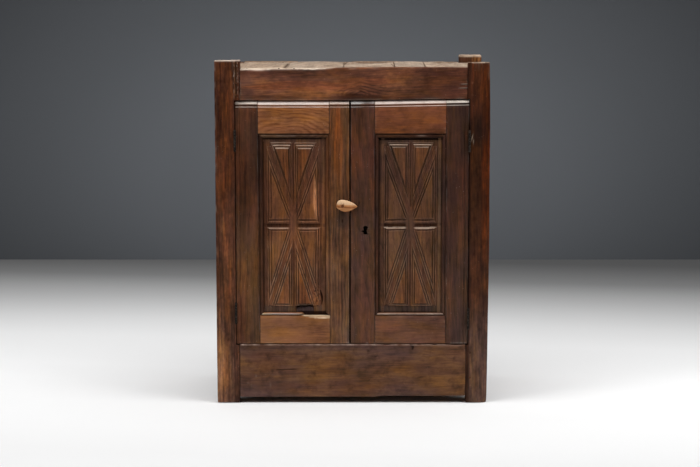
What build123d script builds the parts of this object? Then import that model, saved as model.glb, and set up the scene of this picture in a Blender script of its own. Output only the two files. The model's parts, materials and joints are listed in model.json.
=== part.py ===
from build123d import *
import os

# Trastero: a free-standing two-door storage cupboard of pegged post-and-rail
# joinery. All sizes in millimetres. +Z is up, the doors face -Y, and the origin
# is the centre of the base. Depths below are given from the posts' front face,
# and yf is where that face stands in the cupboard's own frame.

os.makedirs("parts", exist_ok=True)

# ---------------------------------------------------------------- main sizes
half_w = 469.5                 # half of the overall width over the posts
depth = 450.0                  # posts' front face to posts' rear face
button_proud = 22.0            # how far the turn button's nail stands out in front
yf = -(depth + button_proud) / 2 + button_proud
post_d = 60.0                  # post depth, front to back
fl_in, fr_in = -386.0, 397.0   # inner faces of the front posts
rl_in, rr_in = -390.0, 388.0   # inner faces of the rear posts
fl_h, fr_h, rl_h, rr_h = 1194.0, 1188.0, 1166.0, 1190.0   # post heights
reb_l, reb_r = -401.5, 404.5   # door rebates cut into the front posts
reb_d = 34.0                   # rebate depth
apron_z0, apron_z1 = 21.5, 206.0
rail_z0, rail_z1 = 1057.0, 1165.0
board_t = 20.0                 # top, floor and shelf boards
floor_z = 202.0                # floor surface
shelf_z = 670.0                # shelf surface
side_out, side_rail_t = 464.0, 28.0

# ---------------------------------------------------------------- door sizes
door_y, door_t = 5.0, 28.0     # door face behind the posts' face, door thickness
door_z0, door_z1 = 208.0, 1054.0
lx0, lx1, lx2, lx3 = -400.0, -322.8, -77.0, -8.0    # left door: edges and stile lines
ls0, ls1 = -306.4, -89.0                            # left door: sight opening
rx0, rx1, rx2, rx3 = -4.0, 77.3, 321.5, 403.0       # right door
rs0, rs1 = 92.0, 312.0
flat_z0, flat_z1 = 309.0, 944.0                     # rails' flat faces end here
sight_z0, sight_z1 = 319.0, 927.5
stick_d = 6.0                  # how far the sticking slopes back
groove_y0, groove_y1 = 16.0, 25.0                   # panel groove and tenon plane
groove_deep = 8.0
nose = 11.0                    # slope along the doors' top front edge

# ---------------------------------------------------------------- ironwork
axis_y = -4.8                  # hinge pins stand in front of the faces
knuckle_r, pin_r, leaf_t, hinge_h = 4.5, 2.0, 2.0, 72.0
l_axis, r_axis = -400.75, 403.75
l_hinges, r_hinges = (320.0, 920.0), (300.0, 918.0)
peg_r, door_peg_r, nail_r, nail_head_r = 4.5, 3.5, 1.6, 3.4
key_x, key_z = 45.9, 616.5
pivot_x, pivot_z = -32.3, 696.4


def bar(x0, x1, y0, y1, z0, z1, mode=Mode.ADD):
    """A squared bar between two corners, depths from the posts' front face."""
    with Locations((x0, yf + y0, z0)):
        Box(x1 - x0, y1 - y0, z1 - z0, align=(Align.MIN, Align.MIN, Align.MIN), mode=mode)


def rod_y(x, z, r, y0, y1, mode=Mode.ADD):
    """A round rod or hole running front to back."""
    with Locations(Location((x, yf + y0, z), (-90, 0, 0))):
        Cylinder(r, y1 - y0, align=(Align.CENTER, Align.CENTER, Align.MIN), mode=mode)


def rod_x(y, z, r, x0, x1, mode=Mode.ADD):
    """A round rod or hole running left to right."""
    with Locations(Location((x0, yf + y, z), (0, 90, 0))):
        Cylinder(r, x1 - x0, align=(Align.CENTER, Align.CENTER, Align.MIN), mode=mode)


def rod_z(x, y, r, z0, z1, mode=Mode.ADD):
    """An upright round rod or hole."""
    with Locations((x, yf + y, z0)):
        Cylinder(r, z1 - z0, align=(Align.CENTER, Align.CENTER, Align.MIN), mode=mode)


def keep(builder, label):
    builder.part.label = label
    export_step(builder.part, f"parts/{label}.step")


# Tenons: (z0, z1) of each, and the pegs that lock them.
top_tenon = (1070.0, 1150.0)
apron_tenons = ((60.0, 120.0), (158.0, 198.0))
front_tenon_y = (14.0, 34.0)
peg_z = (91.0, 180.0, 1076.0, 1118.0)
l_peg_x, r_peg_x = -395.0, 412.0
rear_tenon_y = (415.0, 431.0)
side_tenon_x = (438.0, 454.0)
panel_x = (441.0, 453.0)       # side panel, both sides alike

# ================================================================= posts
# Front left post: rebated for the door, mortised for rails, grooved for the side.
with BuildPart() as front_left_post:
    with BuildSketch(Plane.XY):
        with BuildLine():
            Polyline((-half_w, yf), (fl_in, yf), (fl_in, yf + post_d), (-half_w, yf + post_d), close=True)
        make_face()
    extrude(amount=fl_h)
    bar(reb_l, fl_in, 0, reb_d, apron_z1, rail_z0, Mode.SUBTRACT)
    chamfer(front_left_post.faces().sort_by(Axis.Z)[-1].edges(), 3.0)
    bar(fl_in - 46, fl_in, *front_tenon_y, *top_tenon, Mode.SUBTRACT)
    for z0, z1 in apron_tenons:
        bar(fl_in - 46, fl_in, *front_tenon_y, z0, z1, Mode.SUBTRACT)
    for z in peg_z:
        rod_y(l_peg_x, z, peg_r + 0.05, -1, 50, Mode.SUBTRACT)
    bar(-side_tenon_x[1], -side_tenon_x[0], 38, post_d, 1075, 1135, Mode.SUBTRACT)
    bar(-side_tenon_x[1], -side_tenon_x[0], 38, post_d, 100, 170, Mode.SUBTRACT)
    bar(-panel_x[1], -panel_x[0], 52, post_d, 192, 1070, Mode.SUBTRACT)
    bar(-436, -412, 48, post_d, 620, 650, Mode.SUBTRACT)
    for z in l_hinges:
        bar(reb_l - leaf_t, reb_l, -1, 27, z - hinge_h / 2, z + hinge_h / 2, Mode.SUBTRACT)
        for dz in (-26, 0, 26):
            rod_x(19 if dz else 12, z + dz, nail_r + 0.05, reb_l - 26, reb_l, Mode.SUBTRACT)
keep(front_left_post, "front_left_post")

# Front right post: as the left one, with its outer front corner hewn to a facet.
with BuildPart() as front_right_post:
    with BuildSketch(Plane.XY):
        with BuildLine():
            Polyline((fr_in, yf), (444, yf), (half_w, yf + 11), (half_w, yf + post_d),
                     (fr_in, yf + post_d), close=True)
        make_face()
    extrude(amount=fr_h)
    bar(fr_in, reb_r, 0, reb_d, apron_z1, rail_z0, Mode.SUBTRACT)
    chamfer(front_right_post.faces().sort_by(Axis.Z)[-1].edges(), 3.0)
    bar(fr_in, fr_in + 46, *front_tenon_y, *top_tenon, Mode.SUBTRACT)
    for z0, z1 in apron_tenons:
        bar(fr_in, fr_in + 46, *front_tenon_y, z0, z1, Mode.SUBTRACT)
    for z in peg_z:
        rod_y(r_peg_x, z, peg_r + 0.05, -1, 50, Mode.SUBTRACT)
    bar(side_tenon_x[0], side_tenon_x[1], 38, post_d, 1075, 1135, Mode.SUBTRACT)
    bar(side_tenon_x[0], side_tenon_x[1], 38, post_d, 100, 170, Mode.SUBTRACT)
    bar(panel_x[0], panel_x[1], 52, post_d, 192, 1070, Mode.SUBTRACT)
    bar(412, 436, 48, post_d, 620, 650, Mode.SUBTRACT)
    for z in r_hinges:
        bar(reb_r, reb_r + leaf_t, -1, 27, z - hinge_h / 2, z + hinge_h / 2, Mode.SUBTRACT)
        for dz in (-26, 0, 26):
            rod_x(19 if dz else 12, z + dz, nail_r + 0.05, reb_r, reb_r + 26, Mode.SUBTRACT)
keep(front_right_post, "front_right_post")

# Rear left post: its top is broken away to a slope.
with BuildPart() as rear_left_post:
    with BuildSketch(Plane.XY):
        with Locations((-half_w, yf + depth)):
            Rectangle(half_w + rl_in, post_d, align=(Align.MIN, Align.MAX))
    extrude(amount=rl_h)
    with BuildSketch(Plane.XZ.offset(-yf - 380)):
        with BuildLine():
            Polyline((-half_w - 1, rl_h + 1), (-half_w - 1, rl_h - 22), (-440, rl_h - 13),
                     (-418, rl_h - 16), (rl_in + 1, rl_h - 4), (rl_in + 1, rl_h + 1), close=True)
        make_face()
    extrude(amount=-80, mode=Mode.SUBTRACT)
    bar(rl_in - 44, rl_in, *rear_tenon_y, 1080, 1134, Mode.SUBTRACT)
    bar(rl_in - 44, rl_in, *rear_tenon_y, 112, 170, Mode.SUBTRACT)
    bar(-side_tenon_x[1], -side_tenon_x[0], 390, 412, 1075, 1134, Mode.SUBTRACT)
    bar(-side_tenon_x[1], -side_tenon_x[0], 390, 412, 100, 170, Mode.SUBTRACT)
    bar(-panel_x[1], -panel_x[0], 390, 398, 192, 1070, Mode.SUBTRACT)
    bar(-436, -412, 390, 402, 620, 650, Mode.SUBTRACT)
    for z in (140.0, 1106.0):
        rod_y(rl_in - 16, z, peg_r + 0.05, 400, 451, Mode.SUBTRACT)
keep(rear_left_post, "rear_left_post")

with BuildPart() as rear_right_post:
    with BuildSketch(Plane.XY):
        with Locations((half_w, yf + depth)):
            Rectangle(half_w - rr_in, post_d, align=(Align.MAX, Align.MAX))
    extrude(amount=rr_h)
    chamfer(rear_right_post.faces().sort_by(Axis.Z)[-1].edges(), 3.0)
    bar(rr_in, rr_in + 44, *rear_tenon_y, 1080, 1134, Mode.SUBTRACT)
    bar(rr_in, rr_in + 44, *rear_tenon_y, 112, 170, Mode.SUBTRACT)
    bar(side_tenon_x[0], side_tenon_x[1], 390, 412, 1075, 1134, Mode.SUBTRACT)
    bar(side_tenon_x[0], side_tenon_x[1], 390, 412, 100, 170, Mode.SUBTRACT)
    bar(panel_x[0], panel_x[1], 390, 398, 192, 1070, Mode.SUBTRACT)
    bar(412, 436, 390, 402, 620, 650, Mode.SUBTRACT)
    for z in (140.0, 1106.0):
        rod_y(rr_in + 16, z, peg_r + 0.05, 400, 451, Mode.SUBTRACT)
keep(rear_right_post, "rear_right_post")

# ================================================================= front rails
top_joints = (-464.0, -224.0, -28.0, 151.0, 258.0, 464.0)   # top boards' edges
board_gap = 1.4
nail_x = [x for a, b in zip(top_joints[:-1], top_joints[1:])
          for x in (max(a, -386) + 26, min(b, 397) - 26)]

# Top front rail: rabbeted at the back for the ends of the top boards.
with BuildPart() as top_front_rail:
    bar(fl_in, fr_in, 5.5, 45, rail_z0, rail_z1)
    bar(fl_in, fr_in, 33, 45, rail_z1 - board_t, rail_z1, Mode.SUBTRACT)
    front_top = top_front_rail.edges().filter_by(Axis.X).group_by(Axis.Z)[-1].sort_by(Axis.Y)[0]
    chamfer(front_top, 2.5)
    bar(fl_in - 44, fl_in, *front_tenon_y, *top_tenon)
    bar(fr_in, fr_in + 44, *front_tenon_y, *top_tenon)
    for x in (l_peg_x, r_peg_x):
        for z in peg_z[2:]:
            rod_y(x, z, peg_r + 0.05, -1, 50, Mode.SUBTRACT)
    for x in nail_x:
        rod_z(x, 39, nail_r + 0.05, 1125, rail_z1, Mode.SUBTRACT)
keep(top_front_rail, "top_front_rail")

# Apron: one deep board, its under edge stepped up a little on the right.
with BuildPart() as apron:
    with BuildSketch(Plane.XZ.offset(-yf)):
        with BuildLine():
            Polyline((fl_in, apron_z0), (88, apron_z0), (96, apron_z0 + 3.5), (fr_in, apron_z0 + 3.5),
                     (fr_in, apron_z1), (fl_in, apron_z1), close=True)
        make_face()
    extrude(amount=-40)
    chamfer(apron.edges().filter_by(Axis.X).group_by(Axis.Z)[-1].sort_by(Axis.Y)[0], 3.0)
    for z0, z1 in apron_tenons:
        bar(fl_in - 44, fl_in, *front_tenon_y, z0, z1)
        bar(fr_in, fr_in + 44, *front_tenon_y, z0, z1)
    for x in (l_peg_x, r_peg_x):
        for z in peg_z[:2]:
            rod_y(x, z, peg_r + 0.05, -1, 50, Mode.SUBTRACT)
keep(apron, "apron")

# ================================================================= rear rails
with BuildPart() as top_rear_rail:
    bar(rl_in, rr_in, 408, 436, 1065, rail_z1 - board_t)
    bar(rl_in - 42, rl_in, *rear_tenon_y, 1080, 1134)
    bar(rr_in, rr_in + 42, *rear_tenon_y, 1080, 1134)
    for x in (rl_in - 16, rr_in + 16):
        rod_y(x, 1106, peg_r + 0.05, 400, 451, Mode.SUBTRACT)
    for x in nail_x:
        rod_z(x, 420, nail_r + 0.05, 1125, rail_z1, Mode.SUBTRACT)
    for i in range(4):
        for dx in (40, 155):
            rod_y(rl_in + 194.5 * i + dx, 1095, nail_r + 0.05, 410, 451, Mode.SUBTRACT)
keep(top_rear_rail, "top_rear_rail")

with BuildPart() as bottom_rear_rail:
    bar(rl_in, rr_in, 408, 436, 100, floor_z - board_t)
    bar(rl_in - 42, rl_in, *rear_tenon_y, 112, 170)
    bar(rr_in, rr_in + 42, *rear_tenon_y, 112, 170)
    for x in (rl_in - 16, rr_in + 16):
        rod_y(x, 140, peg_r + 0.05, 400, 451, Mode.SUBTRACT)
    for i in range(4):
        for dx in (40, 155):
            rod_y(rl_in + 194.5 * i + dx, 141, nail_r + 0.05, 410, 451, Mode.SUBTRACT)
keep(bottom_rear_rail, "bottom_rear_rail")

# ================================================================= sides
# Each side: an upper rail and a ledged lower rail between the posts, and one
# wide panel loose in their grooves.
for side, s in (("left", -1), ("right", 1)):
    def span(a, b):
        return (min(s * a, s * b), max(s * a, s * b))

    with BuildPart() as side_top_rail:
        bar(*span(side_out - side_rail_t, side_out), post_d, 390, 1060, rail_z1 - board_t)
        bar(*span(*side_tenon_x), 39, 411, 1075, 1134)
        bar(*span(*panel_x), post_d, 390, 1060, 1070, Mode.SUBTRACT)
    keep(side_top_rail, f"{side}_side_top_rail")

    with BuildPart() as side_bottom_rail:
        bar(*span(420, side_out), post_d, 390, 90, floor_z)
        bar(*span(420, 436), post_d, 390, floor_z - board_t, floor_z, Mode.SUBTRACT)
        bar(*span(*panel_x), post_d, 390, 192, floor_z, Mode.SUBTRACT)
        bar(*span(*side_tenon_x), 39, 411, 100, 170)
    keep(side_bottom_rail, f"{side}_side_bottom_rail")

    with BuildPart() as side_panel:
        bar(*span(*panel_x), 53, 397, 193, 1069)
    keep(side_panel, f"{side}_side_panel")

    with BuildPart() as shelf_bearer:
        bar(*span(412, 436), post_d, 390, 620, shelf_z - board_t)
        bar(*span(412, 436), 49, 401, 620.5, 649.5)
        chamfer(shelf_bearer.edges().filter_by(Axis.Y).group_by(Axis.Z)[0], 2.0)
    keep(shelf_bearer, f"{side}_shelf_bearer")

# ================================================================= back boards
for i in range(4):
    with BuildPart() as back_board:
        x0 = rl_in + 194.5 * i + 0.6
        bar(x0, x0 + 193.3, 436, depth, 60, 1168 - (0, 2, 0.5, 1.5)[i])
        for dx in (40, 155):
            for z in (141, 1095):
                rod_y(x0 - 0.6 + dx, z, nail_r + 0.05, 430, 451, Mode.SUBTRACT)
                rod_y(x0 - 0.6 + dx, z, nail_head_r + 0.05, depth - 1.6, 451, Mode.SUBTRACT)
    keep(back_board, f"back_board_{i + 1}")

# ================================================================= top boards
# Five boards from the front rail's rabbet to the rear rail. The outer two reach
# out over the side rails, and are notched round the posts.
for i, (a, b) in enumerate(zip(top_joints[:-1], top_joints[1:])):
    x0 = a + (board_gap / 2 if i > 0 else 0)
    x1 = b - (board_gap / 2 if i < 4 else 0)
    with BuildPart() as top_board:
        bar(x0, x1, 33, 432, rail_z1 - board_t, rail_z1)
        if i == 0:
            bar(x0 - 1, fl_in + 1, 32, post_d + 1, rail_z1 - 30, rail_z1 + 1, Mode.SUBTRACT)
            bar(x0 - 1, rl_in + 1, 389, 433, rail_z1 - 30, rail_z1 + 1, Mode.SUBTRACT)
        if i == 4:
            bar(fr_in - 1, x1 + 1, 32, post_d + 1, rail_z1 - 30, rail_z1 + 1, Mode.SUBTRACT)
            bar(rr_in - 1, x1 + 1, 389, 433, rail_z1 - 30, rail_z1 + 1, Mode.SUBTRACT)
        for x in nail_x[2 * i:2 * i + 2]:
            for y in (39, 420):
                rod_z(x, y, nail_r + 0.05, 1140, rail_z1 + 1, Mode.SUBTRACT)
                rod_z(x, y, nail_head_r + 0.05, rail_z1 - 1.6, rail_z1 + 1, Mode.SUBTRACT)
    keep(top_board, f"top_board_{i + 1}")

# ================================================================= floor and shelf
floor_in = 435.0
bolt_x, bolt_y = -40.0, 48.0
staple_z = (325.0, 395.0)
with BuildPart() as floor_board_1:
    bar(-floor_in, floor_in, 40, 236, floor_z - board_t, floor_z)
    bar(-floor_in - 1, fl_in + 1, 39, post_d + 1, floor_z - 30, floor_z + 1, Mode.SUBTRACT)
    bar(fr_in - 1, floor_in + 1, 39, post_d + 1, floor_z - 30, floor_z + 1, Mode.SUBTRACT)
    rod_z(bolt_x, bolt_y, 5.0, floor_z - 30, floor_z + 1, Mode.SUBTRACT)
keep(floor_board_1, "floor_board_1")

with BuildPart() as floor_board_2:
    bar(-floor_in, floor_in, 237.5, 435, floor_z - board_t, floor_z)
    bar(-floor_in - 1, rl_in + 1, 389, 436, floor_z - 30, floor_z + 1, Mode.SUBTRACT)
    bar(rr_in - 1, floor_in + 1, 389, 436, floor_z - 30, floor_z + 1, Mode.SUBTRACT)
keep(floor_board_2, "floor_board_2")

for i, (y0, y1) in enumerate(((66.0, 225.0), (226.5, 387.0))):
    with BuildPart() as shelf_board:
        bar(-439, 439, y0, y1, shelf_z - board_t, shelf_z)
        chamfer(shelf_board.edges().filter_by(Axis.X).group_by(Axis.Z)[-1], 1.5)
    keep(shelf_board, f"shelf_board_{i + 1}")

# ================================================================= pegs and nails
with BuildPart() as frame_pegs:
    for x in (l_peg_x, r_peg_x):
        for z in peg_z:
            rod_y(x, z, peg_r, -0.8, 49)
    for x in (rl_in - 16, rr_in + 16):
        for z in (140.0, 1106.0):
            rod_y(x, z, peg_r, 401, 450)
keep(frame_pegs, "frame_pegs")

with BuildPart() as board_nails:
    for x in nail_x:
        for y in (39, 420):
            rod_z(x, y, nail_r, 1126, rail_z1 - 1.0)
            rod_z(x, y, nail_head_r, rail_z1 - 1.5, rail_z1)
    for i in range(4):
        for dx in (40, 155):
            for z in (141, 1095):
                x = rl_in + 194.5 * i + dx
                rod_y(x, z, nail_r, 411, depth - 1.0)
                rod_y(x, z, nail_head_r, depth - 1.5, depth)
keep(board_nails, "board_nails")

# ================================================================= doors
# Both doors are made alike: two stiles through, two rails tenoned and pegged
# between them, a sloped sticking mitred round the sight opening, and a loose
# panel in a groove.
nose_z = door_z1 - nose


def door_frame_stile(name, xa, xb, xs, inner, hinges=(), hinge_face=None):
    with BuildPart() as st:
        bar(xa, xb, door_y, door_y + door_t, door_z0, door_z1)
        edge = xb if inner > 0 else xa
        add(sticking_v(edge, xs))
        # groove for the panel, and mortises for the rails' tenons
        g0, g1 = sorted((xs, xs - inner * groove_deep))
        bar(g0, g1, groove_y0, groove_y1, flat_z0, flat_z1, Mode.SUBTRACT)
        m0, m1 = sorted((edge, edge - inner * 52))
        bar(m0, m1, groove_y0, groove_y1, 222, 300, Mode.SUBTRACT)
        bar(m0, m1, groove_y0, groove_y1, 950, 1032, Mode.SUBTRACT)
        for z in (240, 282, 968, 1014):
            rod_y(edge - inner * 22, z, door_peg_r + 0.05, 11, door_y + door_t + 1, Mode.SUBTRACT)
        add(nosing_cut(xa, xb), mode=Mode.SUBTRACT)
        for z in hinges:
            h0, h1 = sorted((hinge_face, hinge_face + inner * leaf_t))
            bar(h0, h1, -1, 27, z - hinge_h / 2, z + hinge_h / 2, Mode.SUBTRACT)
            for dz in (-26, 0, 26):
                n0, n1 = sorted((hinge_face, hinge_face + inner * 26))
                rod_x(20 if dz else 11.5, z + dz, nail_r + 0.05, n0, n1, Mode.SUBTRACT)
    return st


def sticking_v(edge, xs):
    """Upright run of sticking beside the sight opening, with mitred ends."""
    with BuildPart() as run:
        with BuildSketch(Plane.XY.offset(flat_z0)):
            with BuildLine():
                Polyline((edge, yf + door_y), (xs, yf + door_y + stick_d),
                         (xs, yf + door_y + door_t), (edge, yf + door_y + door_t), close=True)
            make_face()
        extrude(amount=flat_z1 - flat_z0)
        with BuildSketch(Plane.XZ.offset(-yf)):
            with BuildLine():
                Polyline((edge, flat_z0), (xs, flat_z0), (xs, sight_z0), close=True)
            make_face()
            with BuildLine():
                Polyline((edge, flat_z1), (xs, flat_z1), (xs, sight_z1), close=True)
            make_face()
        extrude(amount=-50, mode=Mode.SUBTRACT)
    return run.part


def sticking_h(xa, xb, sa, sb, flat, sight):
    """Level run of sticking on a rail, from xa to xb at the flat, sa to sb at the sight."""
    with BuildPart() as run:
        with BuildSketch(Plane.YZ.offset(xa)):
            with BuildLine():
                Polyline((yf + door_y, flat), (yf + door_y + stick_d, sight),
                         (yf + door_y + door_t, sight), (yf + door_y + door_t, flat), close=True)
            make_face()
        extrude(amount=xb - xa)
        with BuildSketch(Plane.XZ.offset(-yf)):
            with BuildLine():
                Polyline((xa, flat), (xa, sight), (sa, sight), close=True)
            make_face()
            with BuildLine():
                Polyline((xb, flat), (xb, sight), (sb, sight), close=True)
            make_face()
        extrude(amount=-50, mode=Mode.SUBTRACT)
    return run.part


def nosing_cut(xa, xb):
    """Wedge taken off the top front edge to leave the sloped nosing."""
    with BuildPart() as cut:
        with BuildSketch(Plane.YZ.offset(xa - 1)):
            with BuildLine():
                Polyline((yf + door_y - 1, door_z1 + 1), (yf + door_y - 1, nose_z - 1),
                         (yf + door_y + nose + 1, door_z1 + 1), close=True)
            make_face()
        extrude(amount=xb - xa + 2)
    return cut.part


def door_rail(xa, xb, sa, sb, top):
    with BuildPart() as rl:
        if top:
            bar(xa, xb, door_y, door_y + door_t, flat_z1, door_z1)
            add(sticking_h(xa, xb, sa, sb, flat_z1, sight_z1))
            bar(sa - 8, sb + 8, groove_y0, groove_y1, sight_z1, sight_z1 + groove_deep, Mode.SUBTRACT)
            add(nosing_cut(xa, xb), mode=Mode.SUBTRACT)
            tz0, tz1, zs = 950, 1032, (968, 1014)
        else:
            bar(xa, xb, door_y, door_y + door_t, door_z0, flat_z0)
            add(sticking_h(xa, xb, sa, sb, flat_z0, sight_z0))
            bar(sa - 8, sb + 8, groove_y0, groove_y1, sight_z0 - groove_deep, sight_z0, Mode.SUBTRACT)
            tz0, tz1, zs = 222, 300, (240, 282)
        bar(xa - 50, xa, groove_y0, groove_y1, tz0, tz1)
        bar(xb, xb + 50, groove_y0, groove_y1, tz0, tz1)
        for z in zs:
            for x in (xa - 22, xb + 22):
                rod_y(x, z, door_peg_r + 0.05, 11, door_y + door_t + 1, Mode.SUBTRACT)
    return rl


def ray_panel(s0, s1, cx, broken):
    """Loose panel with eight raised triangular fields, four over and four under
    a cross band. Field corners are (x from the centre line, z)."""
    upper = [[(14, 893), (70, 893), (16, 762)], [(30, 648), (80, 648), (80, 826)]]
    lower = [[(30, 607), (80, 607), (80, 446)], [(18, 353), (68, 353), (18, 512)]]
    with BuildPart() as pn:
        bar(s0 - 6.5, s1 + 6.5, groove_y0, groove_y1, sight_z0 - 6.5, sight_z1 + 6.5)
        for tri in upper + lower:
            for m in (-1, 1):
                with BuildSketch(Plane.XZ.offset(-(yf + groove_y0))):
                    with BuildLine():
                        Polyline(*[(cx + m * x, z) for x, z in tri], close=True)
                    make_face()
                extrude(amount=6, taper=30)
        with BuildSketch(Plane.XZ.offset(-(yf + groove_y0))):
            for m in (-1, 1):
                with Locations((cx + m * 48, 615)):
                    Rectangle(70, 12)
        extrude(amount=4, taper=20)
        if broken:
            with BuildSketch(Plane.XZ.offset(-(yf + 5))):
                with BuildLine():
                    Polyline((-194, 326), (-191, 338), (-176, 343), (-160, 341), (-146, 345),
                             (-133, 337), (-131, 326), (-140, 322), (-168, 321), close=True)
                make_face()
            extrude(amount=-30, mode=Mode.SUBTRACT)
    return pn


left_hinge_stile = door_frame_stile("l", lx0, lx1, ls0, 1, l_hinges, lx0)
keep(left_hinge_stile, "left_hinge_stile")

# The meeting stile carries the turn button's nail, the bolt's staples and the keeper.
with BuildPart() as left_meeting_stile:
    add(door_frame_stile("l", lx2, lx3, ls1, -1).part)
    rod_y(pivot_x, pivot_z, 2.45, 0, 26, Mode.SUBTRACT)
    for z in staple_z:
        for dx in (-13, 13):
            rod_y(bolt_x + dx, z, nail_r + 0.05, 20, 34, Mode.SUBTRACT)
    for z in (617, 649):
        rod_y(-17, z, nail_r + 0.05, 20, 34, Mode.SUBTRACT)
keep(left_meeting_stile, "left_meeting_stile")

# The lock stile is pierced by the keyhole: a round head over a narrower slot.
with BuildPart() as right_lock_stile:
    add(door_frame_stile("r", rx0, rx1, rs0, 1).part)
    with BuildSketch(Plane.XZ.offset(-yf)):
        with Locations((key_x, key_z)):
            Circle(7)
        with BuildLine():
            Polyline((key_x - 4, key_z), (key_x + 4, key_z), (key_x + 4.6, 594),
                     (key_x - 5, 594), close=True)
        make_face()
    extrude(amount=-40, mode=Mode.SUBTRACT)
    for x in (8, 64):
        for z in (572, 652):
            rod_y(x, z, nail_r + 0.05, 20, 34, Mode.SUBTRACT)
keep(right_lock_stile, "right_lock_stile")

right_hinge_stile = door_frame_stile("r", rx2, rx3, rs1, -1, r_hinges, rx3)
keep(right_hinge_stile, "right_hinge_stile")

for side, (xa, xb, sa, sb) in (("left", (lx1, lx2, ls0, ls1)), ("right", (rx1, rx2, rs0, rs1))):
    top_rail = door_rail(xa, xb, sa, sb, True)
    keep(top_rail, f"{side}_top_rail")
    bottom_rail = door_rail(xa, xb, sa, sb, False)
    keep(bottom_rail, f"{side}_bottom_rail")
    panel = ray_panel(sa, sb, (-198.0 if side == "left" else 202.0), side == "left")
    keep(panel, f"{side}_panel")
    with BuildPart() as door_pegs:
        for x in (xa - 22, xb + 22):
            for z in (240, 282, 968, 1014):
                rod_y(x, z, door_peg_r, 11.3, door_y + door_t)
    keep(door_pegs, f"{side}_door_pegs")

# ================================================================= hinges
# Five-knuckle butt hinges let into the post and the door edge, pins in front.
pitch = hinge_h / 5
for side, ax, s, zs in (("left", l_axis, 1, l_hinges), ("right", r_axis, -1, r_hinges)):
    def across(a, b):
        return (min(ax + s * a, ax + s * b), max(ax + s * a, ax + s * b))

    # post leaves carry knuckles 1, 3 and 5
    with BuildPart() as post_leaves:
        for z in zs:
            bar(*across(-0.75 - leaf_t, -0.75), 0.2, 27, z - hinge_h / 2, z + hinge_h / 2)
            for k in (0, 2, 4):
                z0 = z - hinge_h / 2 + k * pitch + 0.1
                bar(*across(-0.75 - leaf_t, -0.75), axis_y, 0.3, z0, z0 + pitch - 0.2)
                rod_z(ax, axis_y, knuckle_r, z0, z0 + pitch - 0.2)
        for z in zs:
            rod_z(ax, axis_y, pin_r + 0.04, z - 40, z + 40, Mode.SUBTRACT)
            for dz in (-26, 0, 26):
                n0, n1 = sorted((ax - s * 0.7, ax - s * 6))
                rod_x(19 if dz else 12, z + dz, nail_r + 0.05, n0, n1, Mode.SUBTRACT)
    keep(post_leaves, f"{side}_post_hinge_leaves")

    # door leaves carry knuckles 2 and 4
    with BuildPart() as door_leaves:
        for z in zs:
            bar(*across(0.75, 0.75 + leaf_t), 0.6, 27, z - hinge_h / 2, z + hinge_h / 2)
            for k in (1, 3):
                z0 = z - hinge_h / 2 + k * pitch + 0.1
                bar(*across(0.75, 0.75 + leaf_t), axis_y, 0.7, z0, z0 + pitch - 0.2)
                rod_z(ax, axis_y, knuckle_r, z0, z0 + pitch - 0.2)
        for z in zs:
            rod_z(ax, axis_y, pin_r + 0.08, z - 40, z + 40, Mode.SUBTRACT)
            for dz in (-26, 0, 26):
                n0, n1 = sorted((ax + s * 0.7, ax + s * 6))
                rod_x(20 if dz else 11.5, z + dz, nail_r + 0.05, n0, n1, Mode.SUBTRACT)
    keep(door_leaves, f"{side}_door_hinge_leaves")

    with BuildPart() as door_hinge_nails:
        for z in zs:
            for dz in (-26, 0, 26):
                n0, n1 = sorted((ax + s * 0.75, ax + s * 25))
                rod_x(20 if dz else 11.5, z + dz, nail_r, n0, n1)
    keep(door_hinge_nails, f"{side}_door_hinge_nails")

with BuildPart() as hinge_pins:
    for ax, zs in ((l_axis, l_hinges), (r_axis, r_hinges)):
        for z in zs:
            rod_z(ax, axis_y, pin_r, z - 37.5, z + 37.5)
            rod_z(ax, axis_y, 3.2, z + 36.2, z + 38.2)
            rod_z(ax, axis_y, 3.0, z - 38.2, z - 36.2)
keep(hinge_pins, "hinge_pins")

with BuildPart() as post_hinge_nails:
    for ax, s, zs in ((l_axis, 1, l_hinges), (r_axis, -1, r_hinges)):
        for z in zs:
            for dz in (-26, 0, 26):
                n0, n1 = sorted((ax - s * 0.75, ax - s * 25))
                rod_x(19 if dz else 12, z + dz, nail_r, n0, n1)
keep(post_hinge_nails, "post_hinge_nails")

# ================================================================= turn button
# Whittled from one piece: blunt at the left, pointed at the right, with the
# front worked to a ridge. It turns on the nail in the meeting stile.
button_back = door_y - 1.0
with BuildPart() as turn_button:
    with BuildSketch(Plane.XZ.offset(-(yf + button_back))):
        with BuildLine():
            Polyline((-52.5, 684), (-53, 700), (-48, 711), (-38, 715.4), (-20, 714.5), (4, 705.5),
                     (17, 696.5), (20, 692), (15, 685.5), (0, 679), (-22, 674.5), (-42, 673.8), close=True)
        make_face()
    extrude(amount=11)
    extrude(faces().sort_by(Axis.Y)[0], amount=9, taper=38)
    rod_y(pivot_x, pivot_z, 2.5, -30, 10, Mode.SUBTRACT)
keep(turn_button, "turn_button")

with BuildPart() as turn_button_nail:
    rod_y(pivot_x, pivot_z, 2.42, -19, 25.5)
    with BuildSketch(Plane.XZ.offset(-(yf - 19))):
        with Locations((pivot_x, pivot_z)):
            Circle(5.2)
    extrude(amount=3.0, taper=25)
    bar(pivot_x - 0.5, pivot_x + 0.5, -22, -21.5, pivot_z - 0.5, pivot_z + 0.5)
keep(turn_button_nail, "turn_button_nail")

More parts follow.
